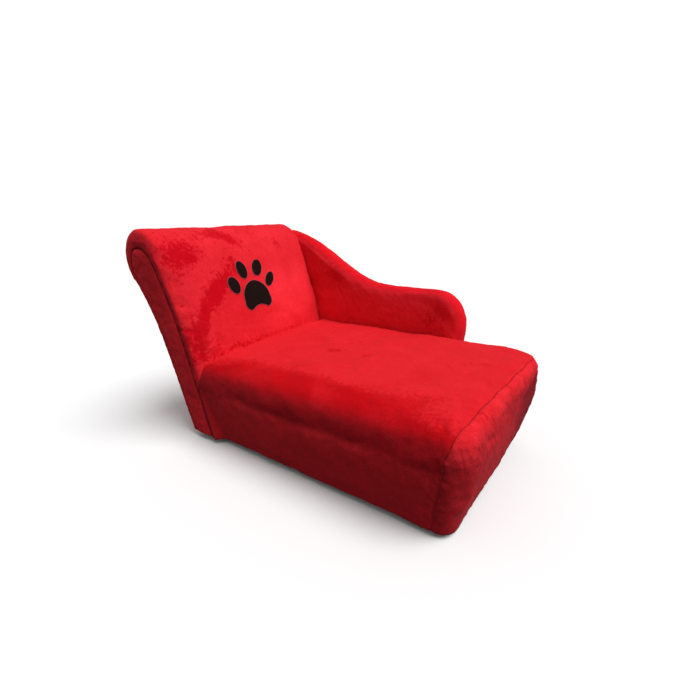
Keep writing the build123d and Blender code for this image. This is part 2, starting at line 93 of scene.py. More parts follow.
# Back
LEAN = 26 / 190
REAR_SLOPE = 33 / 190
KNEE = 0.190
BASE_DEPTH = 0.091
ROLL_RADIUS = 0.057
ROLL_HUB = np.array((ROLL_RADIUS - BACK_REACH, BACK_HEIGHT - ROLL_RADIUS))
BACK_ROUND = 0.011
BACK_FALL = 0.005
BACK_FULL = 0.0038
BACK_PAD, BACK_REAR_PAD, ROLL_PAD = 0.0262, 0.0065, 0.029
BESIDE_BACK = BACK_PAD - 0.0090  # how much further the seat goes in beside the back's open side
ROLL_PANEL_RADIUS = 0.040
FACE_CROWN = 0.003
PANEL_INSET, PANEL_FULL, LAP, LAP_INSET = 0.0015, 0.0030, 0.004, 0.0026

# Arm
ARM_HEIGHT = 0.2835
ARM_DIP_X = 0.132
ARM_DIP_RADIUS = 0.262
ARM_SHOULDER_X = -0.029
ARM_SLOPE = np.radians(28.8)
ARM_NOSE_RADIUS = 0.080
ARM_ROLL_RADIUS = 0.048
ARM_REAR_STEP = 0.004
ARM_EDGE = 0.020

# Paw
PAW_MIDDLE_Y, PAW_LOW, PAW_WIDTH, PAW_HEIGHT = -0.004, BACK_HEIGHT - 0.1675, 0.0755, 0.0615
TOE_WIDTH, TOE_LENGTH = 0.0265, 0.0365
TOES = {                        # side and rise as shares of the pad, width share, lean in degrees
    "paw_toe_1": (-0.71, 0.93, 1.07, 25), "paw_toe_2": (-0.285, 1.38, 1.04, 12),
    "paw_toe_3": (0.30, 1.39, 1.0, -35), "paw_toe_4": (0.66, 0.96, 0.81, -45),
}
PAD_ARCS = (
    ((-1, 0.36), (0.06, 1), (1, 0.42)), ((1, 0.42), (0.95, 0.16), (0.61, 0.04)),
    ((0.61, 0.04), (0.07, 0.16), (-0.56, 0.03)), ((-0.56, 0.03), (-0.93, 0.1), (-1, 0.36)),
)

COVER = 0.002                   # thickness of the plush
FAR = 0.040                     # seams are felt no further away than this
HEM, ARM_HEM, PANEL_HEM, HEM_HEIGHT = 0.022, 0.015, 0.018, 0.0004
TUCK = 0.004                    # how far the seat goes in behind the back's face
LOW_EASE = 0.03                 # height by which a cover has come free of its hem
MARKS = ("seam", "free", "fall", "fluff", "nap")


# Curves in the side view, (x, z)

def line(start, end, steps):
    return np.linspace(start, end, steps + 1)


def circle(middle, radius, first, turn, steps):
    angle = first + turn * np.linspace(0, 1, steps + 1)
    return middle + radius * gather(np.cos(angle), np.sin(angle))


def arc(middle, start, end, steps):
    """Points around a middle from start to end, the short way."""
    first = np.arctan2(*(start - middle)[::-1])
    turn = (np.arctan2(*(end - middle)[::-1]) - first + np.pi) % (2 * np.pi) - np.pi
    return circle(middle, np.hypot(*(start - middle)), first, turn, steps)


def around(middle, radius, start, end, steps):
    """Points on a circle from start to end, counter-clockwise."""
    first = np.arctan2(*(start - middle)[::-1])
    turn = (np.arctan2(*(end - middle)[::-1]) - first) % (2 * np.pi)
    return circle(middle, radius, first, turn, steps)


def touching(start, square, hub, radius, side):
    """Middle and end of the arc that leaves start square to a direction and touches a circle."""
    away = start - hub
    size = (away @ away - radius**2) / (-2 * square @ away - 2 * side * radius)
    middle = start + square * size
    return middle, hub + unit(hub - middle) * radius * side


def unit(vector):
    return vector / np.linalg.norm(vector, axis=-1, keepdims=True)


def gather(*axes):
    """Points from their coordinates, each an array or one value for all."""
    return np.stack(np.broadcast_arrays(*axes), -1)


def join(stretches):
    """Stretches end to end as one path, without the doubled points."""
    return np.concatenate([stretches[0]] + [stretch[1:] for stretch in stretches[1:]])


def inward(path):
    """Unit normals on the left of a path, from central differences."""
    along = unit(np.gradient(path, axis=0))
    return gather(-along[:, 1], along[:, 0])


def smooth(value, low, high):
    """0 below low, 1 above high, an even S between them."""
    share = np.clip((value - low) / (high - low), 0, 1)
    return share * share * (3 - 2 * share)


def fade(value, low, high):
    """1 below low, 0 above high."""
    return 1 - smooth(value, low, high)


def spread(steps, ends=0.6):
    """Shares from 0 to 1 that lie closer together at both ends."""
    share = np.linspace(0, 1, steps + 1)
    return share - ends * np.sin(2 * np.pi * share) / (2 * np.pi)


def resample(path, steps):
    """Points at even lengths along a path; columns past the third are carried along."""
    run = np.linalg.norm(np.diff(path[:, :3], axis=0), axis=-1)
    length = np.concatenate([[0], np.cumsum(run)])
    at = np.linspace(0, length[-1], steps + 1)
    return np.stack([np.interp(at, length, column) for column in path.T], -1)


def three_point(start, through, end):
    """Arc through three points."""
    rows = np.stack([through - start, end - start]) * 2
    away = [(through - start) @ (through - start), (end - start) @ (end - start)]
    middle = start + np.linalg.solve(rows, away)
    return join([arc(middle, start, through, 24), arc(middle, through, end, 24)])


FACE_STEPS, CURVE_STEPS, ROLL_STEPS, HOLLOW_STEPS, REAR_STEPS = 27, 24, 22, 24, 27


def face_x(z):
    return -LEAN * z


def behind(z, inset):
    """Rear of the back at a height, moved in by an inset square to it."""
    return np.array((-BASE_DEPTH - REAR_SLOPE * z + inset * np.hypot(1, REAR_SLOPE), z))


def over_roll(start, square, hub, radius, rear, steps):
    """Stretches that leave a point square to a direction, curve up to a roll, go round it, down the
    hollow behind it and down the rear, moved in by rear. steps has a number for each."""
    curve_steps, roll_steps, hollow_steps, rear_steps = steps
    waist = behind(KNEE, rear)
    rear_up = unit(np.array((-REAR_SLOPE, 1.0)))
    bend, roll_front = touching(start, square, hub, radius, 1)
    hollow, roll_rear = touching(waist, np.array((-rear_up[1], rear_up[0])), hub, radius, -1)
    return [
        arc(bend, start, roll_front, curve_steps),
        around(hub, radius, roll_front, roll_rear, roll_steps),
        arc(hollow, roll_rear, waist, hollow_steps),
        line(waist, behind(0.0, rear), rear_steps),
    ]


def scroll(front, rear, hub, radius):
    """Side outline of the back, open at the foot: face, long curve, roll, hollow, rear."""
    inset = front * np.hypot(1, LEAN)
    foot, knee = np.array((-inset, 0)), np.array((face_x(KNEE) - inset, KNEE))
    square = unit(np.array((-1.0, -LEAN)))
    steps = CURVE_STEPS, ROLL_STEPS, HOLLOW_STEPS, REAR_STEPS
    return join([line(foot, knee, FACE_STEPS), *over_roll(knee, square, hub, radius, rear, steps)])


ARM_FRONT_STEPS, ARM_NOSE_STEPS, ARM_LEVEL_STEPS, ARM_DIP_STEPS = 24, 14, 12, 17
ARM_SLOPE_STEPS, ARM_SHOULDER_STEPS, ARM_ROLL_STEPS = 14, 12, 14
ARM_HOLLOW_STEPS, ARM_REAR_STEPS = 12, 12


def arm_outline():
    """Side outline of the arm, open at the foot: front, nose, level, dip, slope, roll, rear."""
    down = np.array((np.cos(ARM_SLOPE), -np.sin(ARM_SLOPE)))
    corner = np.array((ARM_DIP_X, ARM_HEIGHT))
    reach = ARM_DIP_RADIUS * np.tan(ARM_SLOPE / 2)
    dip_start, dip_end = corner - down * reach, corner + (reach, 0)
    shoulder = corner - down * ((ARM_DIP_X - ARM_SHOULDER_X) / down[0])
    nose_front = np.array((ARM_REACH, ARM_HEIGHT - ARM_NOSE_RADIUS))
    nose_top = np.array((ARM_REACH - ARM_NOSE_RADIUS, ARM_HEIGHT))
    square = np.array((down[1], -down[0]))
    steps = ARM_SHOULDER_STEPS, ARM_ROLL_STEPS, ARM_HOLLOW_STEPS, ARM_REAR_STEPS
    return join([
        line(np.array((ARM_REACH, 0.0)), nose_front, ARM_FRONT_STEPS),
        arc(np.array((nose_top[0], nose_front[1])), nose_front, nose_top, ARM_NOSE_STEPS),
        line(nose_top, dip_end, ARM_LEVEL_STEPS),
        arc(dip_end + (0, ARM_DIP_RADIUS), dip_end, dip_start, ARM_DIP_STEPS),
        line(dip_start, shoulder, ARM_SLOPE_STEPS),
        *over_roll(shoulder, square, ROLL_HUB, ARM_ROLL_RADIUS, ARM_REAR_STEP, steps),
    ])


def coons(left, top, right, bottom):
    """Patch between four edges: the two ruled surfaces less the bilinear one.

    left and right run upwards, top and bottom from left to right."""
    u = np.linspace(0, 1, len(top))[None, :, None]
    v = np.linspace(0, 1, len(left))[:, None, None]
    across = left[:, None] * (1 - u) + right[:, None] * u
    upwards = bottom[None] * (1 - v) + top[None] * v
    low = bottom[0] * (1 - u) + bottom[-1] * u
    high = top[0] * (1 - u) + top[-1] * u
    return across + upwards - low * (1 - v) - high * v


# Softness

WAVES = 28


def lumps(points, size, seed):
    """Smooth unevenness: plane waves of about one wavelength in random directions, summed."""
    random = np.random.default_rng(seed)
    directions = unit(random.normal(size=(WAVES, 3)))
    numbers = 2 * np.pi / (size * random.uniform(0.7, 1.6, WAVES))
    phases = random.uniform(0, 2 * np.pi, WAVES)
    total = np.zeros(len(points))
    for direction, number, phase in zip(directions, numbers, phases):
        total += np.sin(points @ direction * number + phase)
    return total / np.sqrt(WAVES / 2)


def bell(distance, width):
    """1 at a seam, falling smoothly to 0 a few widths away."""
    return np.exp(-((distance / width) ** 2))


def marked(seam, free, fall, fluff, nap=0.0):
    """Values that a plush grid carries: how far off its seam is, how free it is to swell, how much
    it takes the side colours, which are painted light and shade, how brushed it is, and its nap,
    which lies over below 0 and carries painted light and shade too."""
    return dict(zip(MARKS, (np.minimum(seam, FAR), free, fall, fluff, nap)))


def places(points, axes, marks):
    """Sum of soft oval marks on a surface seen along the third axis.

    Each mark is its middle on two axes, its two half sizes, its lean in degrees, its strength."""
    total = np.zeros(len(points))
    for a, b, wide, high, lean, strength in marks:
        away = points[:, axes] - (a, b)
        c, s = np.cos(np.radians(lean)), np.sin(np.radians(lean))
        across, up = away @ (c, s), away @ (-s, c)
        total += strength * np.exp(-((across / wide) ** 2 + (up / high) ** 2))
    return total


# Meshes

def weld(grids, inside=(0, 0, 0)):
    """Grids of points joined where they meet, facing away from a point inside.

    grids are (points, marks) pairs, marks being values by name for each point of the grid. A grid
    that is closed by itself needs no point inside."""
    names = sorted(grids[0][1])
    points, quads, marks, start = [], [], {name: [] for name in names}, 0
    for grid, values in grids:
        rows, columns = grid.shape[:2]
        index = np.arange(rows * columns).reshape(rows, columns)
        quad = gather(index[:-1, :-1], index[1:, :-1], index[1:, 1:], index[:-1, 1:])
        quad = quad.reshape(-1, 4)
        corner = grid.reshape(-1, 3)[quad]
        facing = np.cross(corner[:, 2] - corner[:, 0], corner[:, 3] - corner[:, 1])
        if np.sum(facing * (corner.mean(1) - np.asarray(inside))) < 0:
            quad = quad[:, ::-1]
        points.append(grid.reshape(-1, 3))
        quads.append(quad + start)
        for name in names:
            marks[name].append(np.broadcast_to(values[name], (rows, columns)).reshape(-1))
        start += rows * columns
    points, quads = np.concatenate(points), np.concatenate(quads)
    _, first, where = np.unique(
        np.round(points / 2e-5).astype(int), axis=0, return_index=True, return_inverse=True
    )
    faces = where.reshape(-1)[quads]
    doubled = faces == np.roll(faces, -1, axis=1)
    whole = faces[doubled.sum(1) == 0]
    pinched = faces[doubled.sum(1) == 1][~doubled[doubled.sum(1) == 1]].reshape(-1, 3)
    faces = whole.tolist() + pinched.tolist()
    return points[first], faces, {name: np.concatenate(marks[name])[first] for name in names}


def add_object(name, data):
    thing = bpy.data.objects.new(name, data)
    bpy.context.collection.objects.link(thing)
    return thing


def make_object(name, points, faces, marks=None):
    """Mesh object in the row's place from points drawn about the origin of the surfaces."""
    mesh = bpy.data.meshes.new(name)
    mesh.from_pydata((points + ORIGIN).tolist(), [], faces)
    for mark, values in (marks or {}).items():
        mesh.attributes.new(mark, "FLOAT", "POINT").data.foreach_set("value", values)
    mesh.shade_smooth()
    return add_object(name, mesh)


def read(items, key, width=1, kind=float):
    """One property of all the items of a mesh, as an array."""
    values = np.empty(len(items) * width, kind)
    items.foreach_get(key, values)
    return values.reshape(-1, width) if width > 1 else values


def read_points(mesh):
    """Vertices and their normals, about the origin of the surfaces."""
    return read(mesh.vertices, "co", 3) - ORIGIN, read(mesh.vertices, "normal", 3)


def write_points(piece, points):
    piece.data.vertices.foreach_set("co", (points + ORIGIN).ravel())
    piece.data.update()


def read_mark(mesh, name):
    return read(mesh.attributes[name].data, "value")


def write_mark(piece, name, values):
    piece.data.attributes[name].data.foreach_set("value", values)


def modify(piece, kind, **settings):
    modifier = piece.modifiers.new(kind.lower(), kind)
    for key, value in settings.items():
        setattr(modifier, key, value)
    return modifier


def apply_all(piece):
    """Make what the modifiers give the piece's own mesh."""
    graph = bpy.context.evaluated_depsgraph_get()
    mesh = bpy.data.meshes.new_from_object(piece.evaluated_get(graph))
    piece.modifiers.clear()
    old, piece.data = piece.data, mesh
    bpy.data.meshes.remove(old)


STUFFING = {
    "quality": 6, "mass": 0.3, "tension_stiffness": 12, "compression_stiffness": 12,
    "bending_stiffness": 0.6, "shrink_min": -0.012, "use_pressure": True,
}
STUFFING_FRAMES = 20
HOLD_LEVELS = 5


def stuff(pieces):
    """Press the padding up against the covers, all at once: cloth held at its seams and hems.

    pieces maps a piece to its pressure and to the most that a point may move."""
    for piece, (pressure, _) in pieces.items():
        held = piece.vertex_groups.new(name="held")
        free = read_mark(piece.data, "free")
        for level in np.linspace(1 / HOLD_LEVELS, 1, HOLD_LEVELS):
            index = np.nonzero(np.abs(1 - free - level) <= 0.5 / HOLD_LEVELS)[0]
            if len(index):
                held.add(index.tolist(), float(level), "REPLACE")
        cloth = modify(piece, "CLOTH")
        cloth.collision_settings.use_collision = False
        cloth.settings.vertex_group_mass = held.name
        cloth.settings.uniform_pressure_force = pressure
        cloth.settings.effector_weights.gravity = 0
        for key, value in STUFFING.items():
            setattr(cloth.settings, key, value)
    for step in range(1, STUFFING_FRAMES + 1):
        bpy.context.scene.frame_set(step)
    graph = bpy.context.evaluated_depsgraph_get()
    for piece, (_, most) in pieces.items():
        before, _ = read_points(piece.data)
        moved = read_points(piece.evaluated_get(graph).data)[0] - before
        size = np.linalg.norm(moved, axis=1, keepdims=True)
        moved *= most * np.tanh(size / most) / np.maximum(size, 1e-9)
        piece.modifiers.clear()
        piece.vertex_groups.clear()
        write_points(piece, before + moved)
    bpy.context.scene.frame_set(1)


def turn_under(piece, low, high):
    """Hem: the open edge along the bottom is carried inwards, to a box inset by the hem.

    The mesh is all quads by now. Bottom edges have one face, lie low and run level."""
    mesh = piece.data
    points, _ = read_points(mesh)
    edges = read(mesh.edges, "vertices", 2, int)
    uses = read(mesh.loops, "edge_index", kind=int)
    corners = read(mesh.loops, "vertex_index", kind=int)
    run = np.abs(points[edges[:, 0]] - points[edges[:, 1]])
    level = run[:, 2] < 0.5 * np.linalg.norm(run, axis=1)
    bottom = (np.bincount(uses, minlength=len(edges)) == 1) & level
    bottom &= points[edges][:, :, 2].max(1) < 0.006
    loop = np.nonzero(bottom[uses])[0]
    start = corners[loop]
    end = corners[np.where(loop % 4 == 3, loop - 3, loop + 1)]
    ring, where = np.unique(np.concatenate([start, end]), return_inverse=True)
    a, b = where[:len(start)], where[len(start):]
    folded = points[ring].copy()
    folded[:, :2] = np.clip(folded[:, :2], low, high)
    folded[:, 2] = HEM_HEIGHT
    half = points[ring] + 0.12 * (folded - points[ring])
    half[:, 2] = 0.3 * points[ring, 2] + 0.7 * HEM_HEIGHT
    first, second = len(points), len(points) + len(ring)
    faces = np.concatenate([
        corners.reshape(-1, 4),
        gather(end, start, first + a, first + b),
        gather(first + b, first + a, second + a, second + b),
    ])
    marks = {name: read_mark(mesh, name) for name in MARKS}
    marks = {name: np.concatenate([mark, mark[ring], mark[ring]]) for name, mark in marks.items()}
    hemmed = make_object("hem", np.concatenate([points, half, folded]), faces.tolist(), marks)
    piece.data = hemmed.data
    bpy.data.objects.remove(hemmed)
    bpy.data.meshes.remove(mesh)


PILE_RELIEF, PILE_LUMP = 0.00016, 0.012
PUCKER, PUCKER_REACH, PUCKER_LENGTH, DIVE_REACH = 0.00055, 0.011, 0.013, 0.0038


def finish_plush(piece, node, seed, dive, lump, fluff):
    """Finer mesh, then the surface itself: it dives into its seams, puckers beside them and is a
    little uneven in between. Pieces that share a seam share a seed too."""
    modify(piece, "SUBSURF", levels=1, render_levels=1)
    apply_all(piece)
    points, normals = read_points(piece.data)
    seam, free = read_mark(piece.data, "seam"), read_mark(piece.data, "free")
    height = lump * free * (lumps(points, 0.085, seed) + 0.35 * lumps(points, 0.032, seed + 1))
    height += PILE_RELIEF * smooth(free, 0, 0.3) * lumps(points, PILE_LUMP, seed + 2)
    beside = bell(seam, PUCKER_REACH) * smooth(seam, 0, 0.003)
    pucker = beside * lumps(points, PUCKER_LENGTH, seed + 3)
    height += PUCKER * pucker - dive * bell(seam, DIVE_REACH)
    height += fluff * read_mark(piece.data, "fluff") * lumps(points, PILE_LUMP, seed + 4)
    write_points(piece, points + normals * height[:, None])
    settle(piece, [node])


def settle(piece, nodes):
    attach(piece, "root")
    if nodes:
        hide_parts(*nodes)


def thicken(piece, thickness=COVER):
    modify(piece, "SOLIDIFY", thickness=thickness, offset=-1)


# Seat

SIDE_STEPS, TURN_STEPS, CROWN_STEPS, FLAT_STEPS, ROUND_STEPS = 19, 12, 32, 12, 6
DOWN_STEPS = SIDE_STEPS + TURN_STEPS // 2 - ROUND_STEPS // 2
LENGTH_STEPS, BAND_STEPS = 84, 12


def side_draw(z):
    """How much of the draw is left at a height: all at the floor, none at the shoulder."""
    return np.clip(1 - z / SHOULDER, 0, 1) ** DRAW_POWER


def seat_section():
    """Cross-section of the seat, (y, z), from the open side's foot over the top to the arm side's
    foot: a drawn-in side, a large turn-over, a crown that climbs to the arm, a small round."""
    side_z = line(0, SHOULDER, SIDE_STEPS)
    side = gather(-HALF + SIDE_DRAW * side_draw(side_z), side_z)
    middle = np.array((-HALF + SIDE_ROUND, SHOULDER))
    turned = circle(middle, SIDE_ROUND, np.pi, -SIDE_TURN, TURN_STEPS)
    run = line(0, 1, CROWN_STEPS)
    crown = gather(turned[-1, 0] + CROWN_RUN * run,
                      turned[-1, 1] + SEAT_CROWN * (1 - (1 - run) ** 2))
    flat = line(crown[-1], np.array((HALF - ARM_ROUND, SEAT_HEIGHT)), FLAT_STEPS)
    small = circle(flat[-1] - (0, ARM_ROUND), ARM_ROUND, np.pi / 2, -np.pi / 2, ROUND_STEPS)
    return [side, turned, crown, flat, small, line(small[-1], np.array((HALF, 0.0)), DOWN_STEPS)]


def rim_section(section):
    """Outline of the flat of the foot end: the section drawn in by the rim's round, with corners
    of its own; and the length of that round along the seat, for each point."""
    side, turned, crown = section[:3]
    inset = RIM_LOW + (RIM_SHOULDER - RIM_LOW) * side[:, 1] / SHOULDER
    rim_side = side + gather(inset, 0 * inset)
    turn = line(0, SIDE_TURN, TURN_STEPS)
    start = rim_side[-1]
    span = turned[-1] + (0.015, -RIM_TURN) - start
    rim_turn = start + span * gather((1 - np.cos(turn)) / (1 - np.cos(SIDE_TURN)),
                                        np.sin(turn) / np.sin(SIDE_TURN))
    run = line(0, 1, CROWN_STEPS)
    rim_crown = gather(
        rim_turn[-1, 0] + (crown[-1, 0] - rim_turn[-1, 0]) * run,
        rim_turn[-1, 1] + (SEAT_HEIGHT - RIM_TOP - rim_turn[-1, 1]) * (1 - (1 - run) ** 2),
    )
    last = np.array((HALF - RIM_ARM_TOP - RIM_ROUND, SEAT_HEIGHT - RIM_TOP))
    rim_flat = line(rim_crown[-1], last, FLAT_STEPS)
    rim_small = circle(last - (0, RIM_ROUND), RIM_ROUND, np.pi / 2, -np.pi / 2, ROUND_STEPS)
    rim_down = line(rim_small[-1], np.array((HALF - RIM_ARM_LOW, 0.0)), DOWN_STEPS)
    lengths = [
        inset[:, None], line(RIM_SHOULDER, RIM_TURN, TURN_STEPS)[:, None],
        line(RIM_TURN, RIM_TOP, CROWN_STEPS)[:, None],
        np.full((FLAT_STEPS + 1, 1), RIM_TOP),
        line(RIM_TOP, RIM_ARM_TOP, ROUND_STEPS)[:, None],
        line(RIM_ARM_TOP, RIM_ARM_LOW, DOWN_STEPS)[:, None],
    ]
    return join([rim_side, rim_turn, rim_crown, rim_flat, rim_small, rim_down]), join(lengths)[:, 0]


def end_x(z):
    """Foot end of the seat at a height: drawn in towards the floor."""
    return SEAT_LENGTH - END_DRAW * side_draw(z)


def seam_x(y, z):
    """Where the end panel's seam runs: up the side, in over the shoulder, then along the top, a
    little unevenly and nearer the end towards the arm side."""
    low = SEAT_LENGTH - END_DRAW - SEAM_LOW
    middle, top = SEAT_LENGTH - SEAM_MIDDLE, SEAT_LENGTH - SEAM_TOP
    astray = np.interp(y, (-HALF, -0.08, 0.03, HALF), (-0.007, -0.004, 0.001, 0.008))
    astray = astray + 0.0009 * np.sin(y * 84 + 0.8) + 0.0005 * np.sin(y * 200)
    upper = smooth(z, SEAM_BEND, SEAT_HEIGHT - 0.014)
    return np.interp(z, (0, SEAM_BEND, SEAT_HEIGHT), (low, middle, top)) + upper * astray


def shell_point(section, rim, length, along):
    """Point of the seat's shell: straight along each line of the section, then a quarter round
    into the rim. along is a length from the back's foot, counted on round the turn."""
    start = end_x(section[:, 1]) - length
    turn = np.clip((along - start) / length, 0, np.pi / 2)
    over = 1 - np.cos(turn)
    x = np.where(along < start, along, start + length * np.sin(turn))
    x = x + (end_x(rim[:, 1]) - end_x(section[:, 1])) * over
    across = section + (rim - section) * over[:, None]
    return gather(x, across[:, 0], across[:, 1])


def seat_grids():
    """Grids of the tunnel, of the band beyond its seam and of the end's flat, with their marks."""
    parts = seat_section()
    section = join(parts)
    rim, length = rim_section(parts)
    y, z = section.T
    x_start = end_x(z) - length
    beyond = seam_x(y, z) - x_start
    over = length * np.arcsin(np.clip(beyond / length, 0, 1))
    seam = x_start + np.where(beyond < 0, beyond, over)
    rim_end = x_start + length * np.pi / 2
    lines = (section, rim, length, seam)
    open_side = smooth(-y, HALF - 0.040, HALF - 0.016)
    arm_side = smooth(y, HALF - 0.016, HALF - 0.002)
    open_low = smooth(z, 0, LOW_EASE) * (1 - arm_side)
    high = smooth(z, 0.08, 0.16)
    # painted shade: below the turn-over the seat takes the darker side colours
    fall = fade(z, SHOULDER + 0.018, SHOULDER + 0.0495)

    def between(first, last, shares):
        along = [first + (last - first) * share for share in shares]
        return np.stack([shell_point(section, rim, length, run) for run in along])

    start = face_x(z) - TUCK - BESIDE_BACK * open_side
    share = spread(LENGTH_STEPS)[:, None]
    tunnel = between(start, seam, share)
    to_seam, to_back = (seam - start) * (1 - share), (seam - start) * share
    tunnel[..., 2] -= 0.006 * high * bell(to_back, 0.011)
    flare = (SIDE_DRAW * side_draw(z) + 0.0016) * fade(to_back, 0.004, 0.028)
    tunnel[..., 1] -= (flare - 0.0040 * bell(to_back, 0.0025)) * open_side * (1 - high)
    free = open_low * smooth(to_seam, 0, 0.02) * smooth(to_back, 0, 0.03)
    tunnel_marks = marked(to_seam, free, fall, 0.35 * high * bell(to_seam, 0.02))

    share = spread(BAND_STEPS, 0.35)[:, None]
    band = between(seam, rim_end, share)
    to_seam = (rim_end - seam) * share
    turned_in = smooth(to_seam, 0.4 * length, 1.4 * length)
    free = open_low * smooth(to_seam, 0, 0.02)
    # painted shade: the band turned onto the end takes the darker side colours
    band_marks = marked(to_seam, free, np.maximum(turned_in, fall), high)

    low_corner = SIDE_STEPS + TURN_STEPS // 2
    high_corner = SIDE_STEPS + TURN_STEPS + CROWN_STEPS + FLAT_STEPS + ROUND_STEPS // 2
    edge = band[-1]
    left, right = edge[:low_corner + 1], edge[high_corner:][::-1]
    top = edge[low_corner:high_corner + 1]
    flat = coons(left, top, right, line(left[0], right[0], len(top) - 1))
    u = np.linspace(-1, 1, len(top))[None]
    v = np.linspace(0, 1, len(left))[:, None]
    full = (1 - u**4) * smooth(v, 0, 0.3) * (1 - v**6)
    flat[..., 0] = end_x(flat[..., 2]) + END_FULL * full
    # painted shade: the end's flat takes the darker side colours all over
    flat_marks = marked(FAR, smooth(flat[..., 2], 0, LOW_EASE), 1.0, 0.8)
    tunnel, band, flat = (far_corner(grid) for grid in (tunnel, band, flat))
    return (tunnel, tunnel_marks), (band, band_marks), (flat, flat_marks), lines


def far_corner(grid):
    """The shell's corner at the foot end, arm side, rounded off and drawn in towards the floor."""
    x, y, z = (grid[..., axis] for axis in range(3))
    corner = smooth(y, HALF - 0.060, HALF - 0.005)
    corner = corner * smooth(x, SEAT_LENGTH - 0.075, SEAT_LENGTH - 0.004)
    high = smooth(z, 0.08, 0.17)
    drawn = smooth(y, HALF - 0.06, HALF) * smooth(x, ARM_REACH + 0.01, SEAT_LENGTH - 0.03)
    inwards = 0.010 * corner * high + 0.005 * drawn * np.clip(1 - z / SEAT_HEIGHT, 0, 1)
    return gather(x - 0.003 * corner * high, y - inwards, z - 0.005 * corner * high)


def make_seat():
    tunnel, band, flat, lines = seat_grids()
    middle = (SEAT_LENGTH / 2, 0, SEAT_HEIGHT / 2)
    seat = make_object("seat_plush", *weld([tunnel], middle))
    end = make_object("foot_end_plush", *weld([band, flat], middle))
    return seat, end, lines


SEAT_MARKS = (                  # x, y, half sizes, lean, strength of marks in the nap of the seat; the two long dark marks along the open side's edge are painted shade
    (0.137, -0.098, 0.020, 0.009, 10, 0.9), (0.186, -0.009, 0.022, 0.010, 30, -0.9),
    (0.262, -0.010, 0.010, 0.016, 20, -0.8), (0.282, -0.016, 0.012, 0.030, 5, 0.7),
    (0.110, -0.165, 0.130, 0.030, 0, -1.1), (0.330, -0.158, 0.170, 0.030, -3, -1.2),
    (0.437, -0.120, 0.045, 0.024, 35, -0.6), (0.373, -0.060, 0.080, 0.012, 40, 0.5),
    (0.300, 0.060, 0.090, 0.020, -15, 0.5), (0.450, 0.040, 0.050, 0.016, 25, -0.4),
    (0.060, 0.020, 0.050, 0.030, 20, 0.4), (0.480, 0.140, 0.040, 0.030, 0, 0.5),
)
SEAT_DENTS = (
    (0.186, -0.009, 0.018, 0.010, 30, -0.0012), (0.262, -0.010, 0.008, 0.012, 20, -0.0016),
    (0.110, -0.020, 0.050, 0.035, 10, -0.0016), (0.350, -0.040, 0.070, 0.040, -20, -0.0012),
)


def shape_seat(seat, end):
    """Surface of the seat and its end: dents and marks in the nap on top, painted shade below the
    open side's turn-over and on the end towards the arm, painted light on the end towards the open
    side, and an uneven lower edge."""
    finish_plush(seat, "seat_cover", 11, dive=0.0009, lump=0.0009, fluff=0.0004)
    finish_plush(end, "foot_end_cover", 11, dive=0.0009, lump=0.0009, fluff=0.0004)
    points, _ = read_points(seat.data)
    top = smooth(points[:, 2], SHOULDER, SHOULDER + 0.03)
    points[:, 2] += top * places(points, [0, 1], SEAT_DENTS)
    write_points(seat, points)
    # painted shade: a dark band below the open side's turn-over
    turned = smooth(points[:, 2], 0.100, 0.135) * fade(points[:, 2], 0.158, 0.174)
    turned *= smooth(-points[:, 1], 0.13, 0.17)
    write_mark(seat, "nap", top * places(points, [0, 1], SEAT_MARKS) - 1.2 * turned)
    points, _ = read_points(end.data)
    # painted light and shade on the end: lighter towards the open side, darker towards the arm, and
    # nap 0.5 along its top edge
    facing = np.interp(points[:, 1], (-0.18, 0.0, 0.12), (0.5, 0.0, -1.2))
    write_mark(end, "nap", facing + (0.5 - facing) * smooth(points[:, 2], 0.15, 0.17))
    for piece, most in ((seat, 9), (end, SEAT_LENGTH - END_DRAW - HEM)):
        points, _ = read_points(piece.data)
        low = fade(points[:, 2], 0.0, 0.05)
        near = smooth(points[:, 0], 0.40, 0.53) * fade(points[:, 1], -HALF, -0.08)
        points[:, 2] -= low * (0.0045 * near + 0.0007 * lumps(points * (1, 1, 0), 0.05, 77))
        write_points(piece, points)
        turn_under(piece, (-9, -HALF + SIDE_DRAW + HEM), (most, HALF - HEM))


# Back

STRIP_STEPS, EDGE_STEPS, ACROSS_STEPS = 5, 6, 52
BACK_MIDDLE = (-0.11, 0, 0.2)   # a point inside, for the way that the faces look


def back_outlines():
    """Side outlines of the back: its own, and that of the seams on its sides."""
    hub = np.array((ROLL_HUB[0], BACK_HEIGHT - ROLL_PAD - ROLL_PANEL_RADIUS))
    seam = scroll(BACK_PAD, BACK_REAR_PAD, hub, ROLL_PANEL_RADIUS)
    return scroll(0.0, 0.0, ROLL_HUB, ROLL_RADIUS), seam


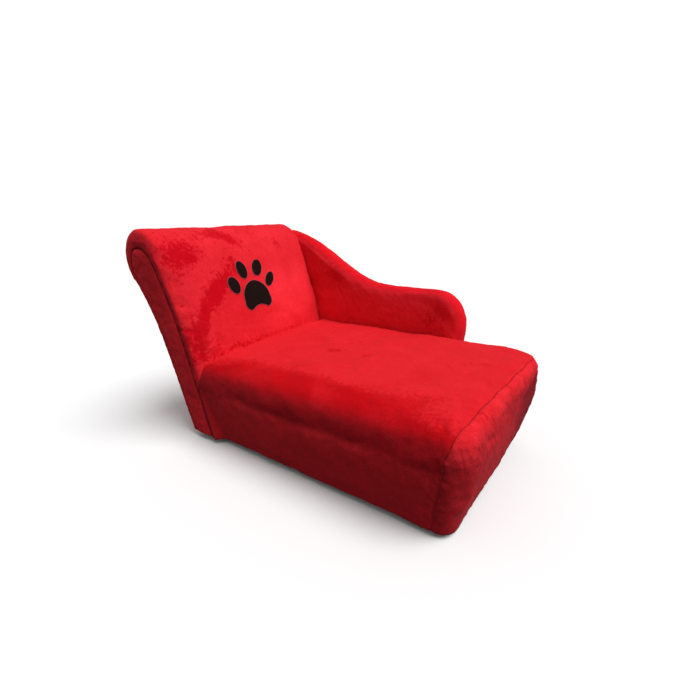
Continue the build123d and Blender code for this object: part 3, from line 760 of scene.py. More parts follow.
def make_back():
    """Back cushion: the outline carried across, rounded over both edges, down to the side seams."""
    outer, seam = back_outlines()
    inwards = inward(outer)
    radius = np.minimum(BACK_ROUND, 0.85 * np.linalg.norm(outer - seam, axis=1))
    bend = FACE_STEPS + CURVE_STEPS
    place = np.arange(len(outer))
    front = fade(place, bend, bend + ROLL_STEPS)
    behind_roll = smooth(place, bend + ROLL_STEPS / 3, bend + ROLL_STEPS)
    outer = outer - inwards * (BACK_FULL * smooth(place, bend - CURVE_STEPS / 2, bend))[:, None]
    face = fade(place, FACE_STEPS, bend)
    strip = line(0, 1, STRIP_STEPS)[:-1, None]
    turn = line(0, np.pi / 2, EDGE_STEPS)[:, None]

    def side_rows(side, most):
        """Rows from the side's seam over the rounded edge, with their distances from the seam."""
        start = outer + inwards * (most * face)[:, None]
        edge = start + inwards * radius[:, None]
        deep = np.linalg.norm(edge - seam, axis=1)
        path = np.concatenate([
            seam + (edge - seam) * strip[..., None],
            start + inwards * (radius * (1 - np.sin(turn)))[..., None],
        ])
        flat = np.full((STRIP_STEPS, len(seam)), -HALF)
        y = np.concatenate([flat, -HALF + radius * (1 - np.cos(turn))])
        away = np.concatenate([deep * strip, deep + radius * turn]) + 0.006 * behind_roll
        return gather(path[..., 0], -side * y, path[..., 1]), away

    share = line(-1, 1, ACROSS_STEPS)[1:-1, None]
    y = share * (HALF - radius)
    fallen = BACK_FALL * fade(HALF - radius + y, 0.0, 0.030) * face
    path = outer + inwards * fallen[..., None]
    near, near_away = side_rows(-1, BACK_FALL)
    far, far_away = side_rows(1, 0.0)
    grid = np.concatenate([near, gather(path[..., 0], y, path[..., 1]), far[::-1]])
    away = np.concatenate([near_away, np.full(y.shape, FAR), far_away[::-1]])
    away = np.minimum(away, FAR)
    z = grid[..., 2]
    crown = FACE_CROWN * (1 - (np.abs(grid[..., 1]) / HALF) ** 6) * smooth(z, 0.02, 0.12)
    grid = grid + gather(-inwards[:, 0], 0, -inwards[:, 1]) * (crown * front)[..., None]
    z = grid[..., 2]
    free = smooth(z, 0.0, 0.05) * smooth(away, 0, 0.03)
    free = free * (1 - front * fade(z, 0.17, 0.20))
    # painted shade: the rounded edges by the side seams and the rear behind the roll take the
    # darker side colours
    fall = np.maximum(fade(away, 0.006, 0.022), 0.5 * (1 - front))
    return make_object("back_plush", *weld([(grid, marked(away, free, fall, 0.2))], BACK_MIDDLE))


BACK_MARKS = (                  # y, z, half sizes, lean, strength of marks in the nap of the face; the long dark mark just above the seat and the mark at the open side's lower corner are painted shade, and the large light marks towards the arm make that side lighter
    (-0.040, 0.348, 0.030, 0.016, -60, -0.7), (-0.075, 0.318, 0.034, 0.020, 35, -0.9),
    (-0.110, 0.294, 0.030, 0.022, 50, -1.1), (-0.150, 0.262, 0.034, 0.014, 60, -0.9),
    (-0.165, 0.240, 0.020, 0.010, 40, -0.7), (-0.020, 0.392, 0.045, 0.012, -30, -0.8),
    (-0.060, 0.405, 0.040, 0.010, 0, -0.6), (0.108, 0.376, 0.016, 0.022, 15, -0.7),
    (0.070, 0.392, 0.040, 0.010, -20, -0.3), (-0.150, 0.370, 0.050, 0.030, 10, -0.9),
    (-0.185, 0.215, 0.040, 0.040, 0, -0.7), (0.124, 0.250, 0.060, 0.050, 0, 0.6),
    (0.020, 0.215, 0.080, 0.018, 5, 0.4), (-0.070, 0.262, 0.030, 0.030, 0, 0.5),
    (0.150, 0.330, 0.030, 0.050, 10, 0.3), (-0.161, 0.230, 0.005, 0.004, 0, -1.2),
    (0.080, 0.290, 0.110, 0.060, 0, 0.9), (0.0, 0.187, 0.230, 0.011, 2, -0.6),
    (-0.120, 0.350, 0.030, 0.010, 30, 0.4), (0.110, 0.300, 0.012, 0.030, -10, -0.3),
)
CREASES = (                     # y, z, half length, half width, lean, depth of creases by the edge
    (-0.188, 0.284, 0.014, 0.0022, -12, -0.0020), (-0.192, 0.238, 0.014, 0.0024, -22, -0.0026),
    (-0.184, 0.262, 0.010, 0.0030, 8, -0.0010), (-0.161, 0.230, 0.004, 0.003, 0, -0.0010),
)


def shape_back(back):
    """Surface of the back: creases by the open edge, darkened as painted shade, marks in the nap of
    the face, some of them painted shade, and painted shade on its seams where the seat meets them."""
    finish_plush(back, "back_cover", 31, dive=0.0012, lump=0.0006, fluff=0.0003)
    points, normals = read_points(back.data)
    seam = read_mark(back.data, "seam")
    # painted shade: near the foot the seams' dark red spreads, where the seat meets the back
    foot = fade(points[:, 2], 0.10, 0.15) * smooth(points[:, 0], -0.07, -0.05)
    write_mark(back, "seam", seam * (1 - 0.8 * foot))
    on_front = smooth(points[:, 0], -0.150, -0.110)
    dent = on_front * places(points, [1, 2], CREASES)
    write_points(back, points + normals * dent[:, None])
    # painted shade in the creases: their depth darkens the colour
    nap = places(points, [1, 2], BACK_MARKS) + 400 * places(points, [1, 2], CREASES)
    write_mark(back, "nap", on_front * nap)
    raise_hem(back)
    turn_under(back, (-BASE_DEPTH + HEM, -HALF + HEM), (-HEM, HALF - HEM))


def raise_hem(piece):
    """Lift the lower edge of the back's covers a little at the open side."""
    points, _ = read_points(piece.data)
    low = fade(points[:, 2], 0.0, 0.05)
    points[:, 2] += 0.0030 * low * smooth(-points[:, 1], HALF - 0.09, HALF - 0.02)
    write_points(piece, points)


def make_side_panel(side):
    """Side of the back: ruled from the front seam to the rear seam, a little full in the middle,
    with a lap beyond each seam that goes under the cover next to it."""
    _, seam = back_outlines()
    top = FACE_STEPS + CURVE_STEPS + ROLL_STEPS // 2
    lap = seam - LAP * inward(seam)
    laps = ((0, 0), (1, 1))
    front, rear = seam[:top + 1], seam[top:][::-1]
    share = spread(14, 0.5)[None]
    plane = front[:, None] * (1 - share[..., None]) + rear[:, None] * share[..., None]
    plane = np.concatenate([lap[:top + 1, None], plane, lap[top:][::-1, None]], 1)
    width = np.linalg.norm(front - rear, axis=1)[:, None]
    gap = np.minimum(width * share, width * (1 - share) + 0.006)
    y = HALF - PANEL_INSET + PANEL_FULL * smooth(gap, 0.0, 0.026) * (side < 0)
    y = np.pad(y, laps, constant_values=HALF - LAP_INSET)
    gap = np.pad(gap, laps, mode="edge")
    grid = gather(plane[..., 0], side * y, plane[..., 1])
    free = 0.8 * smooth(gap, 0.0, 0.02) * smooth(grid[..., 2], 0, LOW_EASE)
    # a band of lighter colour about 8 mm behind the front seam
    seam_band = 0.9 * bell(np.pad(width * share, laps, mode="edge") - 0.008, 0.005)
    name = "back_side_plush_" + ("open" if side < 0 else "arm")
    # painted shade: the back's sides take the darker side colours
    return make_object(name, *weld([(grid, marked(gap, free, 0.9, 0.3, seam_band))], BACK_MIDDLE))


# Arm

ARM_EDGE_STEPS, ARM_FLAT_STEPS = 8, 3


def make_arm():
    """Arm: the outline carried across a rounded edge, and a patch on each face inside it."""
    path = arm_outline()
    inwards = inward(path)
    nose = ARM_FRONT_STEPS + ARM_NOSE_STEPS // 2
    rear = len(path) - 1 - ARM_REAR_STEPS - ARM_HOLLOW_STEPS - ARM_ROLL_STEPS // 2
    half = (ARM_FAR - ARM_NEAR) / 2
    edge = [(path + inwards * (ARM_EDGE * (1 - np.sin(turn))), half - ARM_EDGE * (1 - np.cos(turn)))
            for turn in line(0, np.pi / 2, ARM_EDGE_STEPS)]
    flat = [(path, y) for y in line(-1, 1, ARM_FLAT_STEPS)[1:-1] * (half - ARM_EDGE)]
    rows = [(point, -y) for point, y in edge] + flat + edge[::-1]
    band = np.stack([gather(point[:, 0], ARM_MIDDLE + y, point[:, 1]) for point, y in rows])
    grids = []
    for grid in (band, arm_face(band[0], nose, rear), arm_face(band[-1], nose, rear)):
        x, y, z = (grid[..., axis] for axis in range(3))
        inner = smooth(ARM_NEAR + 0.004 - y, 0, 0.004)
        beside_back = fade(x + LEAN * z, -0.03, 0.03)
        beside_seat = fade(z, 0.17, 0.21)
        free = smooth(z, 0, LOW_EASE) * (1 - inner * np.maximum(beside_back, beside_seat))
        edge = np.abs(y - ARM_MIDDLE) / half
        # painted light and shade: the arm's faces take the side colours, a copy of the plush tuned
        # to their light
        fall, fluff = 0.9 * smooth(edge, 0.55, 1.0), 0.35 * smooth(edge, 0.2, 0.9)
        grids.append((grid, marked(FAR, free, fall, fluff)))
    return make_object("arm_plush", *weld(grids, (0.12, ARM_MIDDLE, 0.12)))


def arm_face(rim, nose, rear):
    right, top, left = rim[:nose + 1], rim[nose:rear + 1][::-1], rim[rear:][::-1]
    return coons(left, top, right, line(left[0], right[0], len(top) - 1))


ARM_MARKS = (                   # x, z, half sizes, lean, strength of marks in the nap of the arm
    (0.037, 0.302, 0.040, 0.020, -30, -0.9), (0.060, 0.335, 0.030, 0.010, -30, -0.6),
    (0.321, 0.238, 0.036, 0.022, -20, -0.8), (0.352, 0.268, 0.020, 0.020, 0, 0.5),
    (0.269, 0.276, 0.060, 0.008, 0, 0.8), (0.166, 0.252, 0.060, 0.030, 0, 0.3),
    (0.290, 0.215, 0.030, 0.014, 10, -0.5), (0.110, 0.290, 0.040, 0.010, -20, 0.4),
)


def shape_arm(arm):
    finish_plush(arm, "arm_cover", 51, dive=0.0, lump=0.0005, fluff=0.0004)
    points, _ = read_points(arm.data)
    near = fade(points[:, 1], ARM_NEAR + 0.01, ARM_MIDDLE)
    write_mark(arm, "nap", near * places(points, [0, 2], ARM_MARKS))
    turn_under(arm, (-BASE_DEPTH + HEM, ARM_NEAR + ARM_HEM), (ARM_REACH - HEM, ARM_FAR - ARM_HEM))


def shape_panel(panel, node):
    finish_plush(panel, node, 41, dive=0.0012, lump=0.0006, fluff=0.0002)
    raise_hem(panel)
    turn_under(panel, (-BASE_DEPTH + 0.001, -HALF + PANEL_HEM), (-0.019, HALF - PANEL_HEM))


# Padding under the plush

def make_mould(name, covers):
    """The covers of one cushion as a single shell, for its padding to be pressed into."""
    graph = bpy.context.evaluated_depsgraph_get()
    points, faces, start = [], [], 0
    for cover in covers:
        mesh = cover.evaluated_get(graph).data
        points.append(read_points(mesh)[0])
        corners = read(mesh.loops, "vertex_index", kind=int).reshape(-1, 4)
        faces += (corners + start).tolist()
        start += len(mesh.vertices)
    mould = make_object(name, np.concatenate(points), faces)
    modify(mould, "WELD", merge_threshold=0.0012)
    apply_all(mould)
    return mould


def make_padding(node, mould, name, voxel, seam):
    """Padding that fills its CAD solid's place, pressed in wherever the plush over it dips, and
    kept clear of the seam lines of the sides."""
    mesh = frame["nodes"][node].data.copy()
    mesh.name = name
    piece = add_object(name, mesh)
    modify(piece, "WELD", merge_threshold=0.00002)
    modify(piece, "REMESH", mode="VOXEL", voxel_size=voxel)
    modify(piece, "SHRINKWRAP", target=mould, wrap_method="NEAREST_SURFACEPOINT",
           wrap_mode="INSIDE", offset=COVER + 0.001)
    apply_all(piece)
    if seam is not None:
        points, _ = read_points(piece.data)
        away = np.linalg.norm(points[:, None, ::2] - seam, axis=-1).min(1)
        most = HALF - 0.005 - 0.010 * bell(away, 0.012)
        points[:, 1] = np.clip(points[:, 1], -most, most)
        write_points(piece, points)
    piece.data.shade_smooth()
    settle(piece, [node])
    return piece


# Paw print

def paw_outlines():
    """Outline of each patch, (y, z) as seen looking at the face."""
    outlines = {}
    angle = np.linspace(0, 2 * np.pi, 73)
    for name, (side, rise, wide, lean) in TOES.items():
        c, s = np.cos(np.radians(lean)), np.sin(np.radians(lean))
        across, up = wide * TOE_WIDTH / 2 * np.cos(angle), TOE_LENGTH / 2 * np.sin(angle)
        middle = np.array((PAW_MIDDLE_Y + side * PAW_WIDTH, PAW_LOW + rise * PAW_HEIGHT))
        outlines[name] = middle + gather(across * c - up * s, across * s + up * c)
    foot, half_size = np.array((PAW_MIDDLE_Y, PAW_LOW)), np.array((PAW_WIDTH / 2, PAW_HEIGHT))
    arcs = [three_point(*(foot + np.array(points) * half_size)) for points in PAD_ARCS]
    outlines["paw_pad"] = resample(join(arcs), 120)
    return outlines


def on_face(back, seen, height):
    """Points over the plush of the face, looking at it along x, raised square to it.

    Each takes the mean of what the tangent planes at its six nearest vertices say."""
    points, normals = read_points(back.data)
    front = (normals[:, 0] > 0.3) & (np.abs(points[:, 1]) < 0.09) & (points[:, 2] > 0.22)
    points, normals = points[front], normals[front]
    flat = seen.reshape(-1, 2)
    away = np.linalg.norm(flat[:, None] - points[None, :, 1:], axis=-1)
    near = np.argpartition(away, 6, axis=1)[:, :6]
    weight = 1 / (np.take_along_axis(away, near, 1) + 5e-4) ** 2
    weight /= weight.sum(1, keepdims=True)
    beside = ((flat[:, None] - points[near][..., 1:]) * normals[near][..., 1:]).sum(-1)
    x = ((points[near][..., 0] - beside / normals[near][..., 0]) * weight).sum(1)
    normal = unit((normals[near] * weight[..., None]).sum(1))
    base = gather(x, flat[:, 0], flat[:, 1])
    raised = base + normal * np.reshape(height, (-1, 1))
    return raised.reshape(*seen.shape[:-1], 3)


FELT_RINGS = np.array((0.0, 0.2, 0.4, 0.6, 0.78, 0.9, 0.96, 1.0))
FELT_HEIGHTS = np.array((1.5, 1.5, 1.5, 1.45, 1.4, 1.25, 1.05, 0.75)) * 1e-3


def make_felt(back, name, outline):
    """Felt patch: rings from the middle to the outline, flat on top and sewn down at the edge."""
    middle = outline.mean(0)
    rings = middle + (outline - middle)[None] * FELT_RINGS[:, None, None]
    grid = on_face(back, rings, np.repeat(FELT_HEIGHTS, len(outline)))
    inside = on_face(back, middle[None], -0.02)[0]
    points, faces, _ = weld([(grid, {})], inside)
    patch = make_object(name + "_felt", points, faces)
    thicken(patch, 0.0010)
    settle(patch, [name])
    edge = on_face(back, outline, 0.001)
    lean = np.polyfit(edge[:, 2], edge[:, 0], 1)[0]


def make_border(back, outlines):
    """Satin stitch round each patch: an oval cord with a fine twist, laid on the patch's edge.

    The cord's grid is its path plus its two cross directions times cosine and sine."""
    grids = []
    turn = np.linspace(0, 2 * np.pi, 9)[None, :, None]
    for outline in outlines.values():
        even = resample(outline, 180)
        path = on_face(back, even, 0.0006)
        up = unit(on_face(back, even, 0.0026) - path)
        along = unit(np.roll(path[:-1], -1, axis=0) - np.roll(path[:-1], 1, axis=0))
        along = np.concatenate([along, along[:1]])
        twist = 0.0007 * (1 + 0.2 * np.sin(np.arange(len(path)) * np.pi / 2))[:, None, None]
        across = np.cross(up, along)
        ring = across[:, None] * np.cos(turn) + up[:, None] * np.sin(turn)
        grids.append((path[:, None] + twist * ring, {}))
    border = make_object("paw_border", *weld(grids))
    settle(border, [])


STITCH, STITCH_STEP = 0.0026, 0.0038


def make_stitches(lines):
    """Thread along the end panel's seam: short rounded stitches lying in the groove.

    Each is a grid round its own length, its half width a semicircle's."""
    section, rim, length, seam = lines
    path = shell_point(section, rim, length, seam)
    before = shell_point(section, rim, length, seam - 0.002)
    along = unit(np.gradient(path, axis=0))
    out = unit(np.cross(path - before, along))
    seen = slice(0, SIDE_STEPS + TURN_STEPS // 3)
    sewn = np.concatenate([path, along, out], 1)[seen]
    count = int(np.linalg.norm(np.diff(path[seen], axis=0), axis=1).sum() / STITCH_STEP)
    sewn = resample(sewn, count)[:-1]
    middle, along, out = sewn[:, :3], unit(sewn[:, 3:6]), unit(sewn[:, 6:])
    if np.sum(out * (middle - (SEAT_LENGTH / 2, 0, 0.05))) < 0:
        out = -out
    middle = middle - out * 0.0006
    across = np.cross(along, out)
    share = np.linspace(-1, 1, 6)[:, None, None]
    ring = np.linspace(0, 2 * np.pi, 7)[None, :, None]
    width = 0.0005 * np.sqrt(1 - share**2)
    middle, along, across, out = (part[:, None, None] for part in (middle, along, across, out))
    shape = (middle + along * share * STITCH / 2
             + across * width * np.cos(ring) + out * width * np.sin(ring))
    thread = make_object("end_seam_thread", *weld([(stitch, {}) for stitch in shape]))
    settle(thread, [])


def make_dust_cover():
    """Cloth under the frame: a rectangle stapled round its edge, sagging a little in between."""
    low, high = (np.array(corner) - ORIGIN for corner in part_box("dust_cover"))
    x, y = np.linspace(low[0], high[0], 90)[:, None], np.linspace(low[1], high[1], 60)[None]
    edge = np.minimum(np.minimum(x - low[0], high[0] - x), np.minimum(y - low[1], high[1] - y))
    place = gather(x, y, 0)
    wave = lumps(place.reshape(-1, 3), 0.10, 91).reshape(place.shape[:2])
    z = low[2] + 0.0005 - smooth(edge, 0.02, 0.12) * (0.0014 + 0.0005 * wave)
    cloth = make_object("dust_cloth", *weld([(gather(x, y, z), {})], (0.1, 0, 1.0)))
    thicken(cloth, 0.0005)
    settle(cloth, ["dust_cover"])


# Materials

def new_tree(material):
    material.use_nodes = True
    material.node_tree.nodes.clear()
    return material.node_tree


def add(tree, kind, inputs=None, **settings):
    node = tree.nodes.new("ShaderNode" + kind)
    for key, value in settings.items():
        setattr(node, key, value)
    for key, value in (inputs or {}).items():
        if isinstance(value, bpy.types.NodeSocket):
            tree.links.new(value, node.inputs[key])
        else:
            node.inputs[key].default_value = value
    return node


def math(tree, operation, a, b, clamp=False):
    return add(tree, "Math", {0: a, 1: b}, operation=operation, use_clamp=clamp).outputs[0]


def blend(tree, factor, a, b):
    return add(tree, "Mix", {"Factor": factor, 6: a, 7: b}, data_type="RGBA").outputs[2]


def remap(tree, value, low, high):
    return add(tree, "MapRange", {"Value": value, "From Min": low, "From Max": high},
               interpolation_type="SMOOTHSTEP").outputs[0]


def noise(tree, place, scale, detail, rough, distortion):
    return add(tree, "TexNoise", {"Vector": place, "Scale": scale, "Detail": detail,
                                  "Roughness": rough, "Distortion": distortion}).outputs["Fac"]


NAP_COLOURS = ("Bright", "Deep", "Side Shade Bright", "Side Shade Deep")
NAP_VALUES = ("Patches", "Strokes", "Groove Width", "Groove")
NAP_LEVEL, PILE = 0.46, 0.35
EVEN = (1, 1, 1)
# painted shade in the seams: the dark red laid along them
SEAM_SHADE_RED = (0.13, 0.001, 0.004, 1)


def nap_and_shade_group():
    """Short pile: ragged patches where the nap lies over, brushed strokes, single tufts; with
    painted light and shade from the nap mark, the darker side colours by the fall mark, and painted
    shade in the seams.
    """
    group = bpy.data.node_groups.new("plush nap", "ShaderNodeTree")
    for name in (*NAP_COLOURS, *NAP_VALUES):
        kind = "NodeSocketColor" if name in NAP_COLOURS else "NodeSocketFloat"
        group.interface.new_socket(name, in_out="INPUT", socket_type=kind)
    group.interface.new_socket("Color", in_out="OUTPUT", socket_type="NodeSocketColor")
    group.interface.new_socket("Height", in_out="OUTPUT", socket_type="NodeSocketFloat")
    come = group.nodes.new("NodeGroupInput").outputs
    go = group.nodes.new("NodeGroupOutput").inputs
    place = add(group, "TexCoord").outputs["Object"]
    marks = {name: add(group, "Attribute", attribute_name=name).outputs["Fac"]
             for name in ("nap", "seam", "fall", "fluff")}

    def times(a, b):
        return math(group, "MULTIPLY", a, b)

    def total(*parts):
        added = parts[0]
        for part in parts[1:]:
            added = math(group, "ADD", added, part)
        return added

    def centred(scale, detail, rough, distortion, where=place):
        return math(group, "SUBTRACT", noise(group, where, scale, detail, rough, distortion), 0.5)

    wide = centred(9.0, 3.0, 0.5, 0.8)
    ragged = centred(46.0, 6.0, 0.66, 2.4)
    fine = centred(170.0, 4.0, 0.7, 1.0)
    tuft = centred(620.0, 3.0, 0.7, 0.0)
    brushed = add(group, "Mapping", {"Vector": place, "Scale": (0.2, 1.0, 0.2)}).outputs[0]
    stroke = centred(130.0, 5.0, 0.65, 2.0, brushed)
    soft = times(total(times(wide, 0.9), times(ragged, 0.55), times(fine, 0.5)), come["Patches"])
    lain = total(times(ragged, 2.6), times(fine, 1.3), times(marks["nap"], -1.0))
    flat_level = times(come["Patches"], math(group, "SUBTRACT", 1.0, times(marks["fall"], 0.6)))
    crisp = times(remap(group, lain, 0.30, 0.70), times(flat_level, 0.42))
    raised = times(remap(group, total(times(ragged, 1.6), marks["nap"]), 0.40, 0.95), -0.30)
    laid = remap(group, times(marks["nap"], -1.0), 0.2, 1.1)
    shaded = times(laid, math(group, "ADD", 0.22, times(marks["fall"], 0.26)))
    combed = times(times(stroke, marks["fluff"]), come["Strokes"])
    level = total(NAP_LEVEL, soft, crisp, raised, shaded, combed, times(tuft, PILE))
    deepness = add(group, "Clamp", {"Value": level}).outputs[0]
    top = blend(group, deepness, come["Bright"], come["Deep"])
    # painted light and shade: the same blend in the side colours, the lit and shaded copy of the
    # plush
    side = blend(group, deepness, come["Side Shade Bright"], come["Side Shade Deep"])
    # painted shade: towards the side colours where the fall mark is high
    edge = math(group, "ADD", marks["fall"], times(ragged, 0.10), clamp=True)
    colour = blend(group, edge, top, side)
    # painted shade in the seams: dark red within the groove width, broken up a little
    seam_shade = remap(group, math(group, "DIVIDE", marks["seam"], come["Groove Width"]), 1.0, 0.2)
    uneven = math(group, "ADD", times(ragged, 2.0), 0.8, clamp=True)
    seam_shade = times(times(seam_shade, come["Groove"]), uneven)
    group.links.new(blend(group, seam_shade, colour, SEAM_SHADE_RED), go["Color"])
    height = total(times(tuft, 0.55), times(fine, 0.8), times(ragged, 0.4), times(combed, 0.4))
    group.links.new(height, go["Height"])


def coat(tree, colour, height, distance, settings):
    """Surface of a material, with a relief of its own."""
    bump = add(tree, "Bump", {"Height": height, "Strength": 0.7, "Distance": distance})
    look = {"Base Color": colour, "Normal": bump.outputs["Normal"], **settings}
    add(tree, "OutputMaterial", {"Surface": add(tree, "BsdfPrincipled", look).outputs[0]})


def plush(name, colours, values):
    """Red plush from the nap group, by its four colours and its values."""
    material = bpy.data.materials.new(name)
    tree = new_tree(material)
    nap = tree.nodes.new("ShaderNodeGroup")
    nap.node_tree = bpy.data.node_groups["plush nap"]
    for key, colour in zip(NAP_COLOURS, colours):
        nap.inputs[key].default_value = (*colour, 1)
    for key, value in zip(NAP_VALUES, values):
        nap.inputs[key].default_value = value
    coat(tree, nap.outputs["Color"], nap.outputs["Height"], 0.0016, {
        "Roughness": 0.95, "Specular IOR Level": 0.06, "Sheen Weight": 0.28,
        "Sheen Roughness": 0.35, "Sheen Tint": (1.0, 0.16, 0.2, 1),
    })
    return material


def plain_stuff(name, colour, dark, scale, roughness, stretch=EVEN, metallic=0.0, specular=0.3):
    """Stuff with its grain: two colours mixed by a stretched noise, and the same as relief."""
    material = bpy.data.materials.new(name)
    tree = new_tree(material)
    place = add(tree, "TexCoord").outputs["Object"]
    place = add(tree, "Mapping", {"Vector": place, "Scale": stretch}).outputs[0]
    grain = noise(tree, place, scale, 6.0, 0.65, 0.5)
    mixed = blend(tree, remap(tree, grain, 0.3, 0.7), (*dark, 1), (*colour, 1))
    coat(tree, mixed, grain, 0.0003, {
        "Roughness": roughness, "Metallic": metallic, "Specular IOR Level": specular,
    })
    return material


def dress(material, *pieces):
    for piece in pieces:
        piece.data.materials.clear()
        piece.data.materials.append(material)


# Plush by cover: its pieces, the colours and the values that the nap and shade group asks for; the
# last two colours are lit and shaded copies of the first two, painted light and shade for the sides
PLUSHES = {
    "red plush, seat": (
        ["seat_plush"],
        ((0.92, 0.024, 0.036), (0.60, 0.002, 0.006), (0.82, 0.025, 0.035), (0.34, 0.007, 0.012)),
        (0.6, 1.4, 0.0020, 0.5)),
    "red plush, foot end": (
        ["foot_end_plush"],
        ((0.98, 0.030, 0.044), (0.62, 0.005, 0.010), (0.70, 0.022, 0.032), (0.22, 0.006, 0.010)),
        (1.2, 2.0, 0.0020, 0.5)),
    "red plush, back": (
        ["back_plush"],
        ((1.0, 0.036, 0.052), (0.62, 0.002, 0.010), (0.66, 0.020, 0.031), (0.44, 0.011, 0.018)),
        (0.9, 1.4, 0.0055, 0.9)),
    "red plush, back's sides": (
        ["back_side_plush_open", "back_side_plush_arm"],
        ((0.90, 0.030, 0.044), (0.60, 0.010, 0.018), (0.90, 0.030, 0.044), (0.46, 0.009, 0.015)),
        (1.2, 1.4, 0.0055, 0.9)),
    "red plush, arm": (
        ["arm_plush"],
        ((0.93, 0.012, 0.024), (0.66, 0.002, 0.008), (0.92, 0.030, 0.046), (0.60, 0.010, 0.020)),
        (1.2, 1.2, 0.0055, 0.9)),
}
# Stuff by slot: name, light and dark of its grain, scale, roughness, stretch, metallic, specular
STUFFS = {
    "foam": ("cream foam", (0.80, 0.73, 0.55), (0.66, 0.58, 0.40), 500, 0.9),
    "wadding": ("white wadding", (0.85, 0.85, 0.83), (0.70, 0.70, 0.68), 300, 0.95),
    "fibreboard": ("brown board", (0.32, 0.20, 0.11), (0.22, 0.13, 0.07), 250, 0.8),
    "plywood": ("plywood", (0.58, 0.41, 0.23), (0.42, 0.27, 0.13), 40, 0.6, (0.3, 3, 3)),
    "softwood": ("softwood", (0.62, 0.45, 0.26), (0.45, 0.29, 0.14), 30, 0.6, (0.2, 4, 4)),
    "foot_plastic": ("black plastic", (0.018, 0.018, 0.018), (0.01, 0.01, 0.01), 700, 0.45),
    "zinc_steel": ("zinc steel", (0.62, 0.62, 0.64), (0.5, 0.5, 0.52), 200, 0.35, EVEN, 1.0),
    "dust_cloth": ("black cloth", (0.02, 0.02, 0.022), (0.012, 0.012, 0.013), 1200, 0.95),
}
FELT = ("black felt", (0.017, 0.0085, 0.0075), (0.009, 0.0055, 0.005), 900, 0.95, EVEN, 0.0, 0.05)
BORDER_THREAD = ("border thread", (0.52, 0.10, 0.14), (0.30, 0.04, 0.06), 1400, 0.8)
SEAM_THREAD = ("seam thread", (0.62, 0.06, 0.08), (0.45, 0.03, 0.05), 1400, 0.8)


def make_materials(padding):
    """Dress the covers, the paw, the padding and each solid of the frame by its slot."""
    nap_and_shade_group()
    objects = bpy.data.objects
    for name, (pieces, colours, values) in PLUSHES.items():
        dress(plush(name, colours, values), *[objects[piece] for piece in pieces])
    dress(plain_stuff(*FELT), *[objects[name + "_felt"] for name in (*TOES, "paw_pad")])
    dress(plain_stuff(*BORDER_THREAD), objects["paw_border"])
    dress(plain_stuff(*SEAM_THREAD), objects["end_seam_thread"])
    stuffs = {slot: plain_stuff(*look) for slot, look in STUFFS.items()}
    slots = {part["node"]: part["material_slot"] for part in frame["record"]["subparts"]}
    for node, piece in frame["nodes"].items():
        if slots.get(node) in stuffs:
            dress(stuffs[slots[node]], piece)
    for slot, pieces in padding.items():
        dress(stuffs[slot], *pieces)
    dress(stuffs["dust_cloth"], objects["dust_cloth"])


# Room

FLOOR_SIZE = 40.0
FLOOR_LIT, FLOOR_SEEN = (0.12, 0.12, 0.12, 1), (0.98, 0.98, 0.98, 1)
GLOW_NEAR, GLOW_FAR, GLOW_SEEN = 0.30, 0.42, 1.02
SUN_ENERGY, SUN_ANGLE, SUN_FROM = 2.6, np.radians(40), (0.60, 0.10, 1.0)
CAMERA_LENS, CAMERA_SHIFT = 19.105, (0.0059, 0.1063)
CAMERA_AXES = ((0.8084, 0.588, -0.0265), (-0.2608, 0.3982, 0.8795), (0.5276, -0.7041, 0.4752))
CAMERA_PLACE = (0.472386, -0.62292, 0.435469)


def aim(thing, right, up, back, place=(0, 0, 0)):
    """Turn a lamp or camera by its own axes and put it in its place."""
    thing.matrix_world = Matrix(np.stack([right, up, back, place], 1).tolist() + [[0, 0, 0, 1]])


def make_floor():
    mesh = bpy.data.meshes.new("floor")
    corners = [(x * FLOOR_SIZE, y * FLOOR_SIZE, 0) for x, y in ((-1, -1), (1, -1), (1, 1), (-1, 1))]
    mesh.from_pydata(corners, [], [(0, 1, 2, 3)])
    floor = add_object("floor", mesh)
    material = bpy.data.materials.new("pale floor")
    tree = new_tree(material)
    seen = add(tree, "LightPath").outputs["Is Camera Ray"]
    shader = add(tree, "BsdfDiffuse", {"Color": blend(tree, seen, FLOOR_LIT, FLOOR_SEEN)})
    add(tree, "OutputMaterial", {"Surface": shader.outputs[0]})
    dress(material, floor)


def make_light():
    """White surroundings that glow more from the far side, and one broad key from above."""
    world = bpy.data.worlds.new("studio")
    bpy.context.scene.world = world
    tree = new_tree(world)
    seen = add(tree, "LightPath").outputs["Is Camera Ray"]
    direction = add(tree, "TexCoord").outputs["Generated"]
    parts = add(tree, "SeparateXYZ", {0: direction}).outputs
    side = math(tree, "ADD", math(tree, "MULTIPLY", parts[1], 0.5), 0.5)
    glow = {"Factor": side, 2: GLOW_NEAR, 3: GLOW_FAR}
    glow = add(tree, "Mix", glow, data_type="FLOAT").outputs[0]
    strength = {"Factor": seen, 2: glow, 3: GLOW_SEEN}
    strength = add(tree, "Mix", strength, data_type="FLOAT").outputs[0]
    background = add(tree, "Background", {"Color": (1, 1, 1, 1), "Strength": strength})
    add(tree, "OutputWorld", {"Surface": background.outputs[0]})

    sun = bpy.data.lights.new("soft key", "SUN")
    sun.energy = SUN_ENERGY
    sun.angle = SUN_ANGLE
    back = unit(np.array(SUN_FROM))
    right = unit(np.cross((0, 1, 0), back))
    aim(add_object("soft key", sun), right, np.cross(back, right), back)


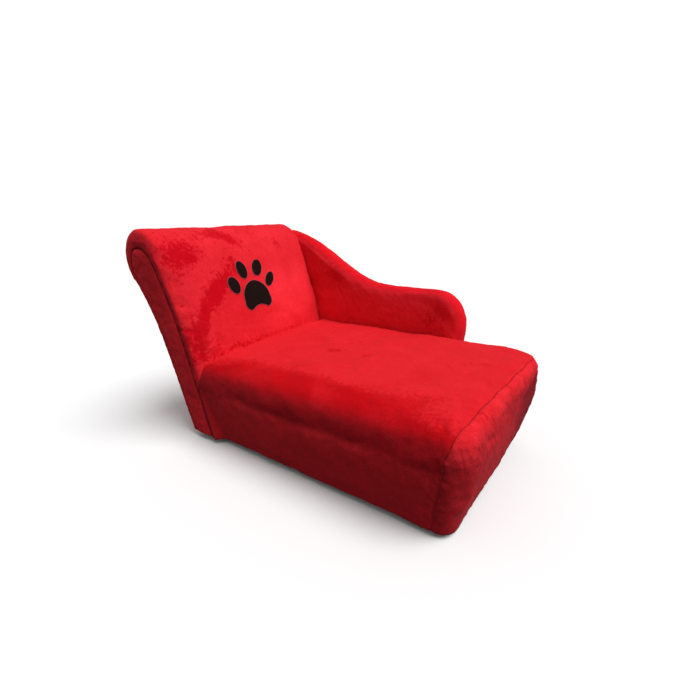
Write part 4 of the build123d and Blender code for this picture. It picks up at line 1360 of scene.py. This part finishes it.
def make_camera():
    data = bpy.data.cameras.new("camera")
    data.sensor_width = 36
    data.lens = CAMERA_LENS
    data.shift_x, data.shift_y = CAMERA_SHIFT
    camera = add_object("camera", data)
    aim(camera, *CAMERA_AXES, CAMERA_PLACE)
    bpy.context.scene.camera = camera
    bpy.context.scene.view_settings.view_transform = "Standard"


# Everything in turn

COARSE, MEDIUM, FINE = 0.0055, 0.0050, 0.0035
PADDING = (                     # solid, cushion, name, slot, size of its cells
    ("seat_foam", "seat", "seat_foam_pad", "foam", COARSE),
    ("back_foam", "back", "back_foam_pad", "foam", COARSE),
    ("arm_foam", "arm", "arm_foam_pad", "foam", MEDIUM),
    ("seat_wadding_open", "seat", "open_side_wadding", "wadding", FINE),
    ("seat_wadding_arm", "seat", "arm_side_wadding", "wadding", FINE),
    ("seat_wadding_foot", "seat", "foot_end_wadding", "wadding", FINE),
    ("back_rear_wadding", "back", "back_rear_pad", "wadding", FINE),
)

seat, seat_end, seam_lines = make_seat()
back = make_back()
side_open, side_arm = make_side_panel(-1), make_side_panel(1)
arm = make_arm()
stuff({
    seat: (3.0, 0.003), seat_end: (3.0, 0.003), back: (3.0, 0.003),
    side_open: (2.0, 0.0015), side_arm: (0.5, 0.0001), arm: (3.0, 0.0025),
})
shape_seat(seat, seat_end)
shape_back(back)
shape_panel(side_open, "back_side_cover_open")
shape_panel(side_arm, "back_side_cover_arm")
shape_arm(arm)

cushions = {"seat": [seat, seat_end], "back": [back, side_open, side_arm], "arm": [arm]}
moulds = {cushion: make_mould(cushion + "_mould", covers) for cushion, covers in cushions.items()}
back_seam = back_outlines()[1]
pads = {"foam": [], "wadding": []}
for solid, cushion, pad_name, pad_slot, cell in PADDING:
    seam = back_seam if cushion == "back" else None
    pads[pad_slot].append(make_padding(solid, moulds[cushion], pad_name, cell, seam))
for mould in moulds.values():
    bpy.data.meshes.remove(mould.data)

patches = paw_outlines()
for patch_name, patch_outline in patches.items():
    make_felt(back, patch_name, patch_outline)
make_border(back, patches)
make_stitches(seam_lines)
make_dust_cover()
for cover in sum(cushions.values(), []):
    thicken(cover)
make_materials(pads)
make_floor()
make_light()
make_camera()
